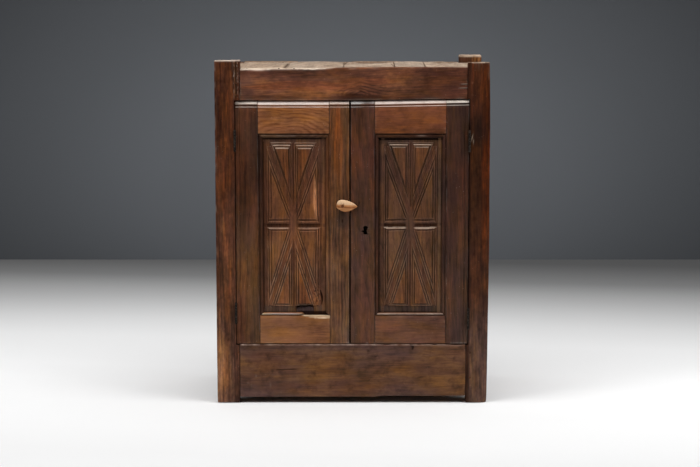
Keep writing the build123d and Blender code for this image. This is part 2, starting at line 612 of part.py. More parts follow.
# ================================================================= rim lock
case_x0, case_x1, case_z0, case_z1 = 2.0, 70.0, 562.0, 662.0
in_y = door_y + door_t          # the doors' inner face
with BuildPart() as lock_case:
    bar(case_x0, case_x1, in_y, in_y + 20, case_z0, case_z1)
    bar(case_x0 + 2, case_x1 - 2, in_y - 1, in_y + 18, case_z0 + 2, case_z1 - 2, Mode.SUBTRACT)
    # ears inside the corners take the nails
    for x in (8, 64):
        for z in (572, 652):
            bar(x - 4, x + 4, in_y, in_y + 19, z - 4, z + 4)
            rod_y(x, z, nail_r, in_y - 12, in_y + 5)
    # slot for the bolt in the case's meeting edge
    bar(case_x0 - 1, case_x0 + 3, in_y + 4.7, in_y + 13.3, 625.7, 640.3, Mode.SUBTRACT)
keep(lock_case, "lock_case")

# The bolt lies above the key's path, notched below for the key's bit.
with BuildPart() as lock_bolt:
    bar(0, 44, in_y + 5, in_y + 13, 626, 640)
    bar(24, 36, in_y + 4, in_y + 14, 625, 631, Mode.SUBTRACT)
    chamfer(lock_bolt.edges().filter_by(Axis.Y).group_by(Axis.X)[0], 1.0)
keep(lock_bolt, "lock_bolt")

# Leaf spring between the bolt's back and the case top, holding the bolt down.
with BuildPart() as lock_spring:
    with BuildSketch(Plane.XZ.offset(-(yf + in_y + 6))):
        with BuildLine():
            Polyline((14, 648), (30, 641), (46, 646), (59.5, 655), (59.5, 656.2),
                     (46, 647.2), (30, 642.2), (14, 649.2), close=True)
        make_face()
    extrude(amount=-6)
keep(lock_spring, "lock_spring")

# Keeper: a strap staple on the left door that the lock's bolt shoots into.
with BuildPart() as lock_keeper:
    bar(-24, -10, in_y, in_y + 17, 622, 644)
    bar(-25, -9, in_y - 1, in_y + 14.5, 624.6, 641.4, Mode.SUBTRACT)
    bar(-24, -10, in_y, in_y + 2.4, 611, 622.5)
    bar(-24, -10, in_y, in_y + 2.4, 643.5, 655)
    for z in (617, 649):
        rod_y(-17, z, nail_r, in_y - 12.5, in_y + 3.4)
keep(lock_keeper, "lock_keeper")

# ================================================================= left door's bolt
with BuildPart() as left_door_bolt:
    rod_z(bolt_x, bolt_y, 4.0, 214, 418)
    rod_y(bolt_x, 362, 3.0, bolt_y, bolt_y + 18)
    with Locations((bolt_x, yf + bolt_y + 20, 362)):
        Sphere(6.0)
    chamfer(left_door_bolt.edges().group_by(Axis.Z)[0], 1.0)
keep(left_door_bolt, "left_door_bolt")

with BuildPart() as left_door_bolt_staples:
    for z in staple_z:
        bar(bolt_x - 7.5, bolt_x + 7.5, in_y, in_y + 22, z - 5, z + 5)
        bar(bolt_x - 4.6, bolt_x + 4.6, in_y - 1, in_y + 19.6, z - 6, z + 6, Mode.SUBTRACT)
        for dx in (-13, 13):
            bar(bolt_x + dx - 6, bolt_x + dx + 6, in_y, in_y + 2.2, z - 5, z + 5)
            rod_y(bolt_x + dx, z, nail_r, in_y - 12.5, in_y + 3.2)
keep(left_door_bolt_staples, "left_door_bolt_staples")
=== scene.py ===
import json
import math

import bpy
import numpy as np
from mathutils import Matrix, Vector
from mathutils.geometry import tessellate_polygon
from mathutils.kdtree import KDTree


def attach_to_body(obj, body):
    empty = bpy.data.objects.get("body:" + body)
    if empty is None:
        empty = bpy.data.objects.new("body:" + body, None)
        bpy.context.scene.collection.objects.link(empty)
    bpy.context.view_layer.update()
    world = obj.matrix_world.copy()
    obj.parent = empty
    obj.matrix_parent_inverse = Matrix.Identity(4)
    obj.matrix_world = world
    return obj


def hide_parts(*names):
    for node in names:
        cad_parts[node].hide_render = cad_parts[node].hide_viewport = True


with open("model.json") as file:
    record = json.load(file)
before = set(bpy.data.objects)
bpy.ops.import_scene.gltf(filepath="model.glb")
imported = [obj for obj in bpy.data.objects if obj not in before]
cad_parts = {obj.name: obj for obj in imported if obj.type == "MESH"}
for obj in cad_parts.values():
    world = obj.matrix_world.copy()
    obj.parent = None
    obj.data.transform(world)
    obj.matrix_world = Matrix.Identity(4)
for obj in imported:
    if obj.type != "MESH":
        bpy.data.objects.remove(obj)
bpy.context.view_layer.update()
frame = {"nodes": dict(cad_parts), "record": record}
NODES = frame["nodes"]
BODY = {n: b for b, ns in frame["record"]["behaviour"]["bodies"].items() for n in ns}
SLOT = {s["node"]: s["material_slot"] for s in frame["record"]["subparts"]}
YF = -214.0          # the posts' front face, mm; depths are measured back from it


# ------------------------------------------------------------------ noise
def _h(ix, iy, iz, seed):
    h = (ix.astype(np.uint32) * np.uint32(374761393) + iy.astype(np.uint32) * np.uint32(668265263)
         + iz.astype(np.uint32) * np.uint32(2246822519) + np.uint32((seed * 3266489917 + 12345) & 0xFFFFFFFF))
    h = (h ^ (h >> np.uint32(13))) * np.uint32(1274126177)
    h = h ^ (h >> np.uint32(16))
    return (h & np.uint32(0xFFFFFF)).astype(np.float64) / float(0xFFFFFF)


def vnoise(p, seed=0):
    """Smooth value noise in 0..1 for points (N, 3)."""
    f = np.floor(p)
    t = p - f
    t = t * t * t * (t * (t * 6 - 15) + 10)
    i = f.astype(np.int64)
    out = 0.0
    for dx in (0, 1):
        wx = t[:, 0] if dx else 1 - t[:, 0]
        for dy in (0, 1):
            wy = t[:, 1] if dy else 1 - t[:, 1]
            for dz in (0, 1):
                wz = t[:, 2] if dz else 1 - t[:, 2]
                out = out + wx * wy * wz * _h(i[:, 0] + dx, i[:, 1] + dy, i[:, 2] + dz, seed)
    return out


def fbm(p, scale, seed=0, octaves=3):
    """Fractal noise in about -1..1. scale is the feature size in mm, per axis or one number."""
    q = p / np.asarray(scale, float)
    total, amp, norm = 0.0, 1.0, 0.0
    for o in range(octaves):
        total = total + amp * (vnoise(q + 17.3 * o, seed + o) * 2 - 1)
        norm += amp
        q = q * 2.03
        amp *= 0.5
    return total / norm


def smooth(a, b, x):
    t = np.clip((x - a) / (b - a), 0, 1)
    return t * t * (3 - 2 * t)


# ------------------------------------------------------------------ mesh making
def new_mesh(name, V, faces, shade=True):
    """V in mm. faces: a list of index arrays, each (n, k)."""
    me = bpy.data.meshes.new(name)
    V = np.asarray(V, float)
    loops = np.concatenate([np.asarray(f).reshape(-1) for f in faces if len(f)])
    sizes = np.concatenate([np.full(len(f), np.asarray(f).shape[1]) for f in faces if len(f)])
    starts = np.concatenate(([0], np.cumsum(sizes)[:-1]))
    me.vertices.add(len(V))
    me.vertices.foreach_set("co", (V / 1000.0).astype(np.float32).reshape(-1))
    me.loops.add(len(loops))
    me.loops.foreach_set("vertex_index", loops.astype(np.int32))
    me.polygons.add(len(sizes))
    me.polygons.foreach_set("loop_start", starts.astype(np.int32))
    me.update(calc_edges=True)
    me.validate()
    if shade:
        me.polygons.foreach_set("use_smooth", np.ones(len(me.polygons), bool))
    ob = bpy.data.objects.new(name, me)
    bpy.context.scene.collection.objects.link(ob)
    return ob


def volume(V, faces):
    v = 0.0
    for f in faces:
        f = np.asarray(f)
        if not len(f):
            continue
        for k in range(1, f.shape[1] - 1):
            a, b, c = V[f[:, 0]], V[f[:, k]], V[f[:, k + 1]]
            v += np.einsum("ij,ij->i", a, np.cross(b, c)).sum()
    return v / 6


def vertex_normals(V, faces):
    n = np.zeros_like(V)
    for f in faces:
        f = np.asarray(f)
        if not len(f) or f.shape[1] > 8:
            continue
        a, b, c = V[f[:, 0]], V[f[:, 1]], V[f[:, -1]]
        fn = np.cross(b - a, c - a)
        if f.shape[1] == 4:
            fn = np.cross(V[f[:, 2]] - V[f[:, 0]], V[f[:, 3]] - V[f[:, 1]])
        for k in range(f.shape[1]):
            np.add.at(n, f[:, k], fn)
    return n / np.maximum(np.linalg.norm(n, axis=1, keepdims=True), 1e-9)


def attach(ob, node, tint=None, wear_and_highlight=None, mat=None):
    """Attributes, body, slot and material for a piece that stands for a node."""
    me = ob.data
    n = len(me.vertices)
    col = np.ones((n, 4), np.float32)
    if tint is not None:
        col[:, :3] = tint
    a = me.attributes.new("tint", "FLOAT_COLOR", "POINT")
    a.data.foreach_set("color", col.reshape(-1))
    w = me.attributes.new("wear_and_highlight", "FLOAT", "POINT")
    w.data.foreach_set("value", (np.zeros(n) if wear_and_highlight is None else np.clip(wear_and_highlight, 0, 1)).astype(np.float32))
    me.materials.clear()
    me.materials.append(mat)
    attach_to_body(ob, BODY[node])
    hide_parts(node)
    return ob


def ring(corners, radii, counts, extras=None, k=3):
    """Closed ring of points round a polygon: arcs at its corners, even points on its sides.
    extras[i] lists (fraction, inward offset) points that replace side i's even points."""
    c = np.asarray(corners, float)
    n = len(c)
    pts, edge = [], []
    for i in range(n):
        a, b = c[i - 1], c[(i + 1) % n]
        d0 = c[i] - a
        d1 = b - c[i]
        d0 = d0 / max(np.linalg.norm(d0), 1e-9)
        d1 = d1 / max(np.linalg.norm(d1), 1e-9)
        r = radii[i]
        p0, p1 = c[i] - d0 * r, c[i] + d1 * r
        turn = abs(d0[0] * d1[1] - d0[1] * d1[0])
        for s in np.linspace(0, 1, k + 1):
            pts.append((1 - s) ** 2 * p0 + 2 * s * (1 - s) * c[i] + s * s * p1)
            edge.append(turn)
        q0 = p1
        q1 = c[(i + 1) % n] - d1 * radii[(i + 1) % n]
        L = np.linalg.norm(q1 - q0)
        if extras and i in extras:
            nrm = np.array([-d1[1], d1[0]])
            for f, off in extras[i]:
                pts.append(c[i] + (b - c[i]) * f + nrm * off)
                edge.append(0.0)
        else:
            m = counts[i]
            for s in range(1, m + 1):
                f = s / (m + 1)
                pts.append(q0 + (q1 - q0) * f)
                edge.append(np.exp(-min(f, 1 - f) * L / 3.0) * turn * 0.9)
    return np.array(pts), np.array(edge)


def spread(t0, t1, dt, fine=(), er=2.5):
    """Positions along a piece: close at the ends, dt apart between, finer in the given spans."""
    base = [t0, t0 + er * 0.12, t0 + er * 0.5, t0 + er]
    n = max(2, int(round((t1 - t0 - 2 * er) / dt)))
    base += list(np.linspace(t0 + er, t1 - er, n + 1)[1:])
    base += [t1 - er * 0.5, t1 - er * 0.12, t1]
    for a, b, d in fine:
        base += list(np.arange(a, b, d))
    base = np.unique(np.round(np.array(base), 3))
    keep = [0]
    for i in range(1, len(base)):
        if base[i] - base[keep[-1]] > 0.28:
            keep.append(i)
    return base[keep]


def sweep(name, node, axis, t, section, er=2.5, rough=1.0, seed=0, mat=None, paint=None, shape=None,
          round_ends=True, edge_wear=1.0, wave=1.0):
    """Solid swept along an axis. section(t) gives (points, edge) in the two cross axes:
    z: (x, depth), x: (depth, z), y: (x, z)."""
    t = np.asarray(t, float)
    rings, edges = [], []
    t0, t1 = t[0], t[-1]
    for v in t:
        p, e = section(v)
        d = min(v - t0, t1 - v)
        if round_ends and d < er:
            ins = er * (1 - math.sqrt(max(0.0, 1 - (1 - d / er) ** 2))) * 0.8
            lo, hi = p.min(0), p.max(0)
            p = np.clip(p, lo + ins, hi - ins)
        rings.append(p)
        edges.append(np.maximum(e, math.exp(-d / 3.0)))
    R = np.array(rings)
    M, N = R.shape[:2]
    T = np.repeat(t[:, None], N, 1)
    if axis == "z":
        P = np.stack([R[..., 0], R[..., 1] + YF, T], -1)
    elif axis == "x":
        P = np.stack([T, R[..., 0] + YF, R[..., 1]], -1)
    else:
        P = np.stack([R[..., 0], T + YF, R[..., 1]], -1)
    V = P.reshape(-1, 3)
    E = np.array(edges).reshape(-1)
    i = np.arange(M - 1)[:, None]
    j = np.arange(N)[None, :]
    q = np.stack([i * N + j, i * N + (j + 1) % N, (i + 1) * N + (j + 1) % N, (i + 1) * N + j], -1).reshape(-1, 4)
    caps = [np.arange(N)[None, ::-1], (np.arange(N) + (M - 1) * N)[None, :]]
    faces = [q] + caps
    if volume(V, faces) < 0:
        faces = [f[:, ::-1] for f in faces]
    nrm = vertex_normals(V, [faces[0]])
    # old hand-worked surface: slow waves, planing marks along the grain, softened arrises
    g = {"x": (9.0, 1.0, 1.0), "y": (1.0, 9.0, 1.0), "z": (1.0, 1.0, 9.0)}[axis]
    slow = fbm(V, np.array(g) * 22 + 30, seed, 2)
    fib = fbm(V, np.array(g) * 5, seed + 50, 2)
    nick = fbm(V, np.array(g) * 2.5 + 6, seed + 90, 2)
    d = -0.55 * wave * (slow + 1) * 0.5 - 0.16 * rough * (fib + 1)
    d -= E * edge_wear * (0.25 + 1.5 * np.clip(nick - 0.05, 0, 1) + 1.2 * np.clip(slow, 0, 1))
    if shape is not None:
        d = d + shape(V, nrm, E)
    V = V + nrm * d[:, None]
    ob = new_mesh(name, V, faces)
    wear_and_highlight = E * np.clip(0.15 + 0.9 * nick + 0.5 * slow, 0, 1) * edge_wear
    tint = np.ones((len(V), 3))
    if paint is not None:
        tint, wear_and_highlight = paint(V, nrm, E, wear_and_highlight)
    return attach(ob, node, tint, wear_and_highlight, mat)


# ------------------------------------------------------------------ materials
def lin(r, g, b):
    """8-bit display colour to scene linear."""
    return tuple(((c / 255) / 12.92 if c <= 10.3 else ((c / 255 + 0.055) / 1.055) ** 2.4) for c in (r, g, b))


class Tree:
    def __init__(self, name):
        self.m = bpy.data.materials.new(name)
        self.m.use_nodes = True
        self.t = self.m.node_tree
        self.t.nodes.clear()

    def n(self, kind, sets=None, **ins):
        nd = self.t.nodes.new(kind)
        for k, v in (sets or {}).items():
            setattr(nd, k, v)
        for k, v in ins.items():
            key = int(k[1:]) if k[0] == "i" and k[1:].isdigit() else k.replace("_", " ")
            if isinstance(v, bpy.types.NodeSocket):
                self.t.links.new(v, nd.inputs[key])
            else:
                nd.inputs[key].default_value = v
        return nd

    def math(self, op, a, b=0.0, clamp=False):
        nd = self.t.nodes.new("ShaderNodeMath")
        nd.operation = op
        nd.use_clamp = clamp
        for i, v in enumerate((a, b)):
            if isinstance(v, bpy.types.NodeSocket):
                self.t.links.new(v, nd.inputs[i])
            else:
                nd.inputs[i].default_value = v
        return nd.outputs[0]

    def mix(self, fac, a, b, blend="MIX"):
        nd = self.t.nodes.new("ShaderNodeMix")
        nd.data_type = "RGBA"
        nd.blend_type = blend
        nd.clamp_factor = True
        for key, v in ((0, fac), (6, a), (7, b)):
            if isinstance(v, bpy.types.NodeSocket):
                self.t.links.new(v, nd.inputs[key])
            elif key == 0:
                nd.inputs[key].default_value = v
            else:
                nd.inputs[key].default_value = (*v[:3], 1.0)
        return nd.outputs[2]

    def ramp(self, fac, stops, mode="LINEAR"):
        nd = self.t.nodes.new("ShaderNodeValToRGB")
        nd.color_ramp.interpolation = mode
        cr = nd.color_ramp
        while len(cr.elements) < len(stops):
            cr.elements.new(0.5)
        for e, (p, c) in zip(cr.elements, stops):
            e.position = p
            e.color = (*c[:3], 1.0) if not isinstance(c, (int, float)) else (c, c, c, 1.0)
        self.t.links.new(fac, nd.inputs[0])
        return nd.outputs[0]

    def remap(self, v, a, b, c, d):
        nd = self.n("ShaderNodeMapRange", None, Value=v)
        nd.inputs["From Min"].default_value = a
        nd.inputs["From Max"].default_value = b
        nd.inputs["To Min"].default_value = c
        nd.inputs["To Max"].default_value = d
        return nd.outputs[0]


def grain_scale(axis, cross, along):
    return {"x": (along, cross, cross), "y": (cross, along, cross), "z": (cross, cross, along)}[axis]


_mats = {}


GAIN = {
    "bleached_board_wood": (0.798, 0.803, 0.8), "left_post_wood": (0.836, 1.18, 1.34), "right_post_wood": (0.7, 0.791, 0.707),
    "top_rail_wood": (1.03, 1.24, 1.43), "apron_face_wood": (1.1, 1.21, 1.32), "left_hinge_stile_wood": (1.42, 1.17, 0.894),
    "left_meeting_stile_wood": (1.08, 1.2, 1.09), "left_top_rail_wood": (1.23, 1.33, 1.36),
    "left_bottom_rail_wood": (1.21, 1.2, 1.11), "right_lock_stile_wood": (1.21, 1.13, 1),
    "right_hinge_stile_wood": (1.32, 1.13, 1), "right_top_rail_wood": (1.2, 1.15, 1.01),
    "right_bottom_rail_wood": (1.14, 1.12, 1.05), "left_panel_wood": (1.36, 1.4, 1.23), "right_panel_wood": (1.24, 1.24, 1.1),
    "whittled_pine": (0.62, 0.57, 0.52)}


def wood(name, axis, dark, mid_, light, alt=None, alt_amount=0.5, alt2=None, bare_and_highlight=(190, 160, 135), seed=0, ring=7.0,
         tilt=(0.12, 0.09), figure=0.5, streak=1.0, rough=0.55, bump=0.5, grime=0.35, spec=0.13, blotch=1.0, specks=0.25,
         pores=0.07, fine=0.6, drifting=True):
    """Old hand-worked softwood with its grain along axis. Colours are display colours; ring is the spacing of
    the growth rings in mm, figure how strongly they show."""
    if name in _mats:
        return _mats[name]
    gain = GAIN.get(name, (1, 1, 1))
    T = Tree(name)
    co = T.n("ShaderNodeTexCoord").outputs["Object"]
    rnd = np.random.RandomState(seed)
    off = tuple(rnd.uniform(-3, 3, 3))

    def stretched(cross, along, detail, roughness, src):
        mp = T.n("ShaderNodeMapping", None, Vector=src, Location=off, Scale=grain_scale(axis, cross, along)).outputs[0]
        return T.n("ShaderNodeTexNoise", None, Vector=mp, Scale=1.0, Detail=detail, Roughness=roughness)

    # slow drift of the grain, so that it never runs quite straight
    drift = stretched(6.0, 3.2, 3.0, 0.55, co)
    dv = T.n("ShaderNodeVectorMath", {"operation": "SUBTRACT"}, i0=drift.outputs["Color"], i1=(0.5, 0.5, 0.5)).outputs[0]
    dvs = T.n("ShaderNodeVectorMath", {"operation": "MULTIPLY"}, i0=dv, i1=grain_scale(axis, 0.024, 0.0)).outputs[0]
    wc = T.n("ShaderNodeVectorMath", {"operation": "ADD"}, i0=co, i1=dvs).outputs[0]
    # growth rings about a heart that lies a little out of line with the board
    rot = {"x": (0, tilt[0], tilt[1]), "y": (tilt[0], 0, tilt[1]), "z": (tilt[0], tilt[1], 0)}[axis]
    heart = tuple(rnd.uniform(0.05, 0.12, 3) * np.sign(rnd.uniform(-1, 1, 3)))
    rm = T.n("ShaderNodeMapping", None, Vector=wc, Location=heart, Rotation=rot,
             Scale=grain_scale(axis, 1.0, 0.35)).outputs[0]
    wave = T.n("ShaderNodeTexWave", {"wave_type": "RINGS", "rings_direction": axis.upper(), "wave_profile": "SAW"},
               Vector=rm, Scale=314.0 / ring, Distortion=3.0, Detail=3.0, Detail_Scale=0.6, Detail_Roughness=0.55)
    rings = wave.outputs["Fac"]
    streaks = stretched(70.0, 3.2, 3.5, 0.6, wc).outputs["Fac"]
    fibre = stretched(480.0, 12.0, 3.0, 0.6, wc).outputs["Fac"]
    mid = stretched(150.0, 5.0, 2.5, 0.55, wc).outputs["Fac"]
    grit = stretched(120.0, 42.0, 3.0, 0.6, co).outputs["Fac"]
    pore = stretched(230.0, 8.0, 3.0, 0.6, wc).outputs["Fac"]
    blot = stretched(14.0, 6.0, 5.0, 0.62, co).outputs["Fac"]
    patch = stretched(9.0, 3.2, 3.0, 0.55, co).outputs["Fac"]
    mott = T.n("ShaderNodeTexNoise", None, Vector=co, Scale=30.0, Detail=5.0, Roughness=0.65).outputs["Fac"]
    f = T.math("MULTIPLY", T.math("SUBTRACT", streaks, 0.5), 0.58 * streak)
    f = T.math("ADD", f, T.math("MULTIPLY", T.math("SUBTRACT", mid, 0.5), 0.36 * streak))
    f = T.math("ADD", f, T.math("MULTIPLY", T.math("SUBTRACT", grit, 0.5), 0.22 * blotch))
    f = T.math("ADD", f, T.math("MULTIPLY", T.math("SUBTRACT", rings, 0.5), 0.5 * figure))
    f = T.math("ADD", f, T.math("MULTIPLY", T.math("SUBTRACT", fibre, 0.5), fine))
    f = T.math("ADD", f, T.math("MULTIPLY", T.math("SUBTRACT", blot, 0.5), 0.75 * blotch))
    f = T.math("ADD", f, 0.5, clamp=True)
    up = 1.07 if drifting else 1.0
    gain = tuple(g * up for g in gain)
    d, m, l = (tuple(c * g for c, g in zip(lin(*v), gain)) for v in (dark, mid_, light))
    dd = tuple(c * 0.5 for c in d)
    col = T.ramp(f, [(0.0, dd), (0.22, d), (0.5, m), (0.8, l), (1.0, tuple(c * 1.25 for c in l))])
    if alt:
        k = T.math("MULTIPLY", T.remap(patch, 0.44, 0.60, 0.0, 1.0), alt_amount, clamp=True)
        ac = T.ramp(f, [(0.0, tuple(c * g * 0.3 for c, g in zip(lin(*alt), gain))),
                        (0.5, tuple(c * g for c, g in zip(lin(*alt), gain))),
                        (1.0, tuple(c * g * 1.7 for c, g in zip(lin(*alt), gain)))])
        col = T.mix(k, col, ac)
    if alt2:
        k = T.math("MULTIPLY", T.remap(blot, 0.54, 0.68, 0.0, 1.0), 0.65, clamp=True)
        ac = T.ramp(f, [(0.0, tuple(c * g * 0.35 for c, g in zip(lin(*alt2), gain))),
                        (0.6, tuple(c * g for c, g in zip(lin(*alt2), gain))),
                        (1.0, tuple(c * g * 1.5 for c, g in zip(lin(*alt2), gain)))])
        col = T.mix(k, col, ac)
    if drifting:
        # old finish yellowed in one place and gone dull in the next
        hue = stretched(30.0, 10.0, 3.0, 0.6, co).outputs["Fac"]
        col = T.mix(1.0, col, T.ramp(hue, [(0.36, (1.0, 0.96, 0.72)), (0.5, (0.935, 0.935, 0.935)), (0.63, (0.88, 0.865, 1.0))]),
                    "MULTIPLY")
    # grime in hollows of the mottling, and open pores along the grain
    col = T.mix(T.remap(mott, 0.5, 0.75, 0.0, grime), col, tuple(c * 0.55 for c in d))
    col = T.mix(T.remap(pore, 0.33, 0.42, pores, 0.0), col, tuple(c * 0.4 for c in d))
    tint = T.n("ShaderNodeAttribute", {"attribute_name": "tint"}).outputs["Color"]
    col = T.mix(1.0, col, tint, "MULTIPLY")
    b = lin(*bare_and_highlight)
    if specks:
        vor = T.n("ShaderNodeTexVoronoi", None, Vector=co, Scale=95.0)
        dots = T.remap(vor.outputs["Distance"], 0.07, 0.13, 1.0, 0.0)
        dots = T.math("MULTIPLY", dots, T.remap(mott, 0.46, 0.40, 0.0, specks), clamp=True)
        col = T.mix(dots, col, tuple(c * 0.6 for c in b))
    # this attribute pales the wood towards the bare colour: real rubbed places, and painted highlights on lit nosings,
    # sticking and moulding slopes
    wear_and_highlight = T.n("ShaderNodeAttribute", {"attribute_name": "wear_and_highlight"}).outputs["Fac"]
    bare_and_highlight_col = T.ramp(fibre, [(0.25, tuple(c * 0.72 for c in b)), (0.75, b)])
    col = T.mix(T.math("MULTIPLY", wear_and_highlight, T.remap(mott, 0.25, 0.55, 0.65, 1.0), clamp=True), col, bare_and_highlight_col)
    hgt = T.math("ADD", T.math("MULTIPLY", fibre, 0.5), T.math("MULTIPLY", rings, 0.18 * figure))
    hgt = T.math("ADD", hgt, T.math("MULTIPLY", streaks, 0.45))
    hgt = T.math("ADD", hgt, T.remap(pore, 0.33, 0.42, -0.25 * pores, 0.0))
    bmp = T.n("ShaderNodeBump", None, Height=hgt, Strength=bump, Distance=0.0011).outputs[0]
    rgh = T.math("ADD", T.remap(mott, 0.3, 0.7, rough - 0.09, rough + 0.12), T.math("MULTIPLY", wear_and_highlight, 0.12), clamp=True)
    shade = T.n("ShaderNodeSeparateColor", None, Color=tint).outputs[0]
    rgh = T.math("ADD", rgh, T.remap(shade, 0.75, 0.35, 0.0, 0.4), clamp=True)
    sh = T.n("ShaderNodeBsdfPrincipled", None, Base_Color=col, Roughness=rgh, Normal=bmp)
    sh.inputs["Specular IOR Level"].default_value = spec
    T.n("ShaderNodeOutputMaterial", None, Surface=sh.outputs[0])
    _mats[name] = T.m
    return T.m


def iron(name="old_iron", rusty=False):
    if name in _mats:
        return _mats[name]
    T = Tree(name)
    co = T.n("ShaderNodeTexCoord").outputs["Object"]
    n1 = T.n("ShaderNodeTexNoise", None, Vector=co, Scale=160.0, Detail=6.0, Roughness=0.65).outputs["Fac"]
    n2 = T.n("ShaderNodeTexNoise", None, Vector=co, Scale=900.0, Detail=3.0, Roughness=0.6).outputs["Fac"]
    if rusty:
        col = T.ramp(n1, [(0.3, lin(48, 28, 18)), (0.5, lin(84, 50, 30)), (0.66, lin(120, 72, 42)), (0.8, lin(70, 42, 28))])
    else:
        # pale flecks from the paler stop of this ramp are painted glints on the dark iron
        col = T.ramp(n1, [(0.3, lin(15, 11, 10)), (0.5, lin(28, 22, 18)), (0.58, lin(66, 57, 50)), (0.66, lin(50, 30, 21)), (0.85, lin(26, 20, 17))])
    rough = T.remap(n1, 0.35, 0.7, 0.75 if rusty else 0.55, 0.9 if rusty else 0.85)
    metal = T.remap(n1, 0.52, 0.64, 0.1 if rusty else 0.16, 0.0 if rusty else 0.04)
    h = T.math("ADD", T.math("MULTIPLY", n1, 0.7), T.math("MULTIPLY", n2, 0.3))
    bmp = T.n("ShaderNodeBump", None, Height=h, Strength=0.55, Distance=0.0006).outputs[0]
    sh = T.n("ShaderNodeBsdfPrincipled", None, Base_Color=col, Roughness=rough, Metallic=metal, Normal=bmp)
    sh.inputs["Specular IOR Level"].default_value = 0.12
    T.n("ShaderNodeOutputMaterial", None, Surface=sh.outputs[0])
    _mats[name] = T.m
    return T.m


# ------------------------------------------------------------------ camera and stage
scene = bpy.context.scene
cam_data = bpy.data.cameras.new("camera")
cam_data.sensor_fit = "HORIZONTAL"
cam_data.sensor_width = 36.0
cam_data.lens = 96.9
cam = bpy.data.objects.new("camera", cam_data)
cam.location = (-0.006, YF / 1000 - 6.432, 1.537)
cam.rotation_euler = (math.radians(90 - 8.3), 0, 0)
scene.collection.objects.link(cam)
scene.camera = cam
scene.view_settings.view_transform = "Standard"
scene.view_settings.look = "None"


def stage_mat(name, col, stops, axis, centre=None, back_clear=False, rough=0.8):
    """Matt paint whose tone drifts with distance, as the light on a studio sweep falls away."""
    T = Tree(name)
    co = T.n("ShaderNodeTexCoord").outputs["Object"]
    if centre is None:
        turned = T.n("ShaderNodeMapping", None, Vector=co, Rotation=(0, 0, 0.13), Location=(0, 0.05, 0)).outputs[0]
        sep = T.n("ShaderNodeSeparateXYZ", None, i0=turned)
        v = T.remap(sep.outputs[axis], stops[0][0], stops[-1][0], 0.0, 1.0)
        span = stops[-1][0] - stops[0][0]
        fac = T.ramp(v, [((p - stops[0][0]) / span, c) for p, c in stops], "EASE" if len(stops) < 3 else "LINEAR")
    else:
        mp = T.n("ShaderNodeMapping", None, Vector=co, Location=centre[0], Scale=centre[1]).outputs[0]
        g = T.n("ShaderNodeVectorMath", {"operation": "LENGTH"}, i0=mp).outputs["Value"]
        fac = T.ramp(g, stops)
    n = T.n("ShaderNodeTexNoise", None, Vector=co, Scale=3.0, Detail=4.0).outputs["Fac"]
    c = T.mix(1.0, T.mix(n, tuple(v * 0.985 for v in col), col), fac, "MULTIPLY")
    sh = T.n("ShaderNodeBsdfPrincipled", None, Base_Color=c, Roughness=rough)
    sh.inputs["Specular IOR Level"].default_value = 0.1
    res = sh.outputs[0]
    if back_clear:
        g = T.n("ShaderNodeNewGeometry").outputs["Backfacing"]
        clear = T.n("ShaderNodeBsdfTransparent")
        mx = T.n("ShaderNodeMixShader", None, i0=g, i1=sh.outputs[0], i2=clear.outputs[0])
        res = mx.outputs[0]
    T.n("ShaderNodeOutputMaterial", None, Surface=res)
    return T.m


def plane(name, corners, mat):
    me = bpy.data.meshes.new(name)
    me.from_pydata(corners, [], [(0, 1, 2, 3)])
    me.materials.append(mat)
    ob = bpy.data.objects.new(name, me)
    scene.collection.objects.link(ob)
    return ob


WALL_Y = 2.96
plane("floor", [(-9, -4.2, 0), (9, -4.2, 0), (9, 8, 0), (-9, 8, 0)],
      stage_mat("floor_paint", (0.94, 0.94, 0.94), [(-4.2, 0.655), (-0.9, 0.727), (-0.3, 0.83), (0.1, 0.97), (0.35, 1.0), (0.9, 0.935), (1.3, 0.80), (1.8, 0.578), (2.1, 0.446), (2.4, 0.285), (2.97, 0.156)], 1))
plane("wall", [(-9, WALL_Y, 0), (9, WALL_Y, 0), (9, WALL_Y, 7), (-9, WALL_Y, 7)],
      stage_mat("wall_paint", (0.142, 0.150, 0.163), [(0.0, 1.0), (0.2, 0.955), (0.4, 0.85), (0.6, 0.64), (0.8, 0.47), (1.0, 0.32)], 0,
                centre=((0.0, 0.0, -0.26), (0.38, 0.0, 0.65)), back_clear=True))


def area(name, loc, target, size, energy, color=(1, 1, 1), spread=180):
    li = bpy.data.lights.new(name, "AREA")
    li.shape = "RECTANGLE"
    li.size, li.size_y = size
    li.energy = energy
    li.color = color
    li.spread = math.radians(spread)
    ob = bpy.data.objects.new(name, li)
    ob.location = loc
    ob.rotation_euler = (Vector(target) - Vector(loc)).to_track_quat("-Z", "Y").to_euler()
    scene.collection.objects.link(ob)
    return ob


area("top_soft", (0.0, -0.95, 3.6), (0, -0.95, 0), (5.2, 3.0), 140)
for s_ in (-1, 1):
    area("side_soft", (s_ * 3.2, -1.5, 3.1), (s_ * 0.5, 0, 0.2), (2.4, 2.6), 88).visible_glossy = False
area("wall_wash", (0.0, 1.2, 4.2), (0, WALL_Y, 1.4), (3.0, 0.8), 28)

world = bpy.data.worlds.new("studio")
scene.world = world
world.use_nodes = True
world.node_tree.nodes["Background"].inputs[0].default_value = (0.9, 0.94, 1.0, 1.0)
world.node_tree.nodes["Background"].inputs[1].default_value = 0.03


# ------------------------------------------------------------------ sizes, mm
HALF, FL, FR, RL, RR = 469.5, -386.0, 397.0, -390.0, 388.0
REB_L, REB_R = -401.5, 404.5
LX = (-400.0, -322.8, -77.0, -8.0)
LS = (-306.4, -89.0)
RX = (-4.0, 77.3, 321.5, 403.0)
RS = (92.0, 312.0)
FLAT = (309.0, 944.0)
SIGHT = (319.0, 927.5)
DY, DT = 5.0, 28.0
DOOR_TOP = 1055.4
DZ = (210.4, DOOR_TOP)
APRON_TOP = 208.6

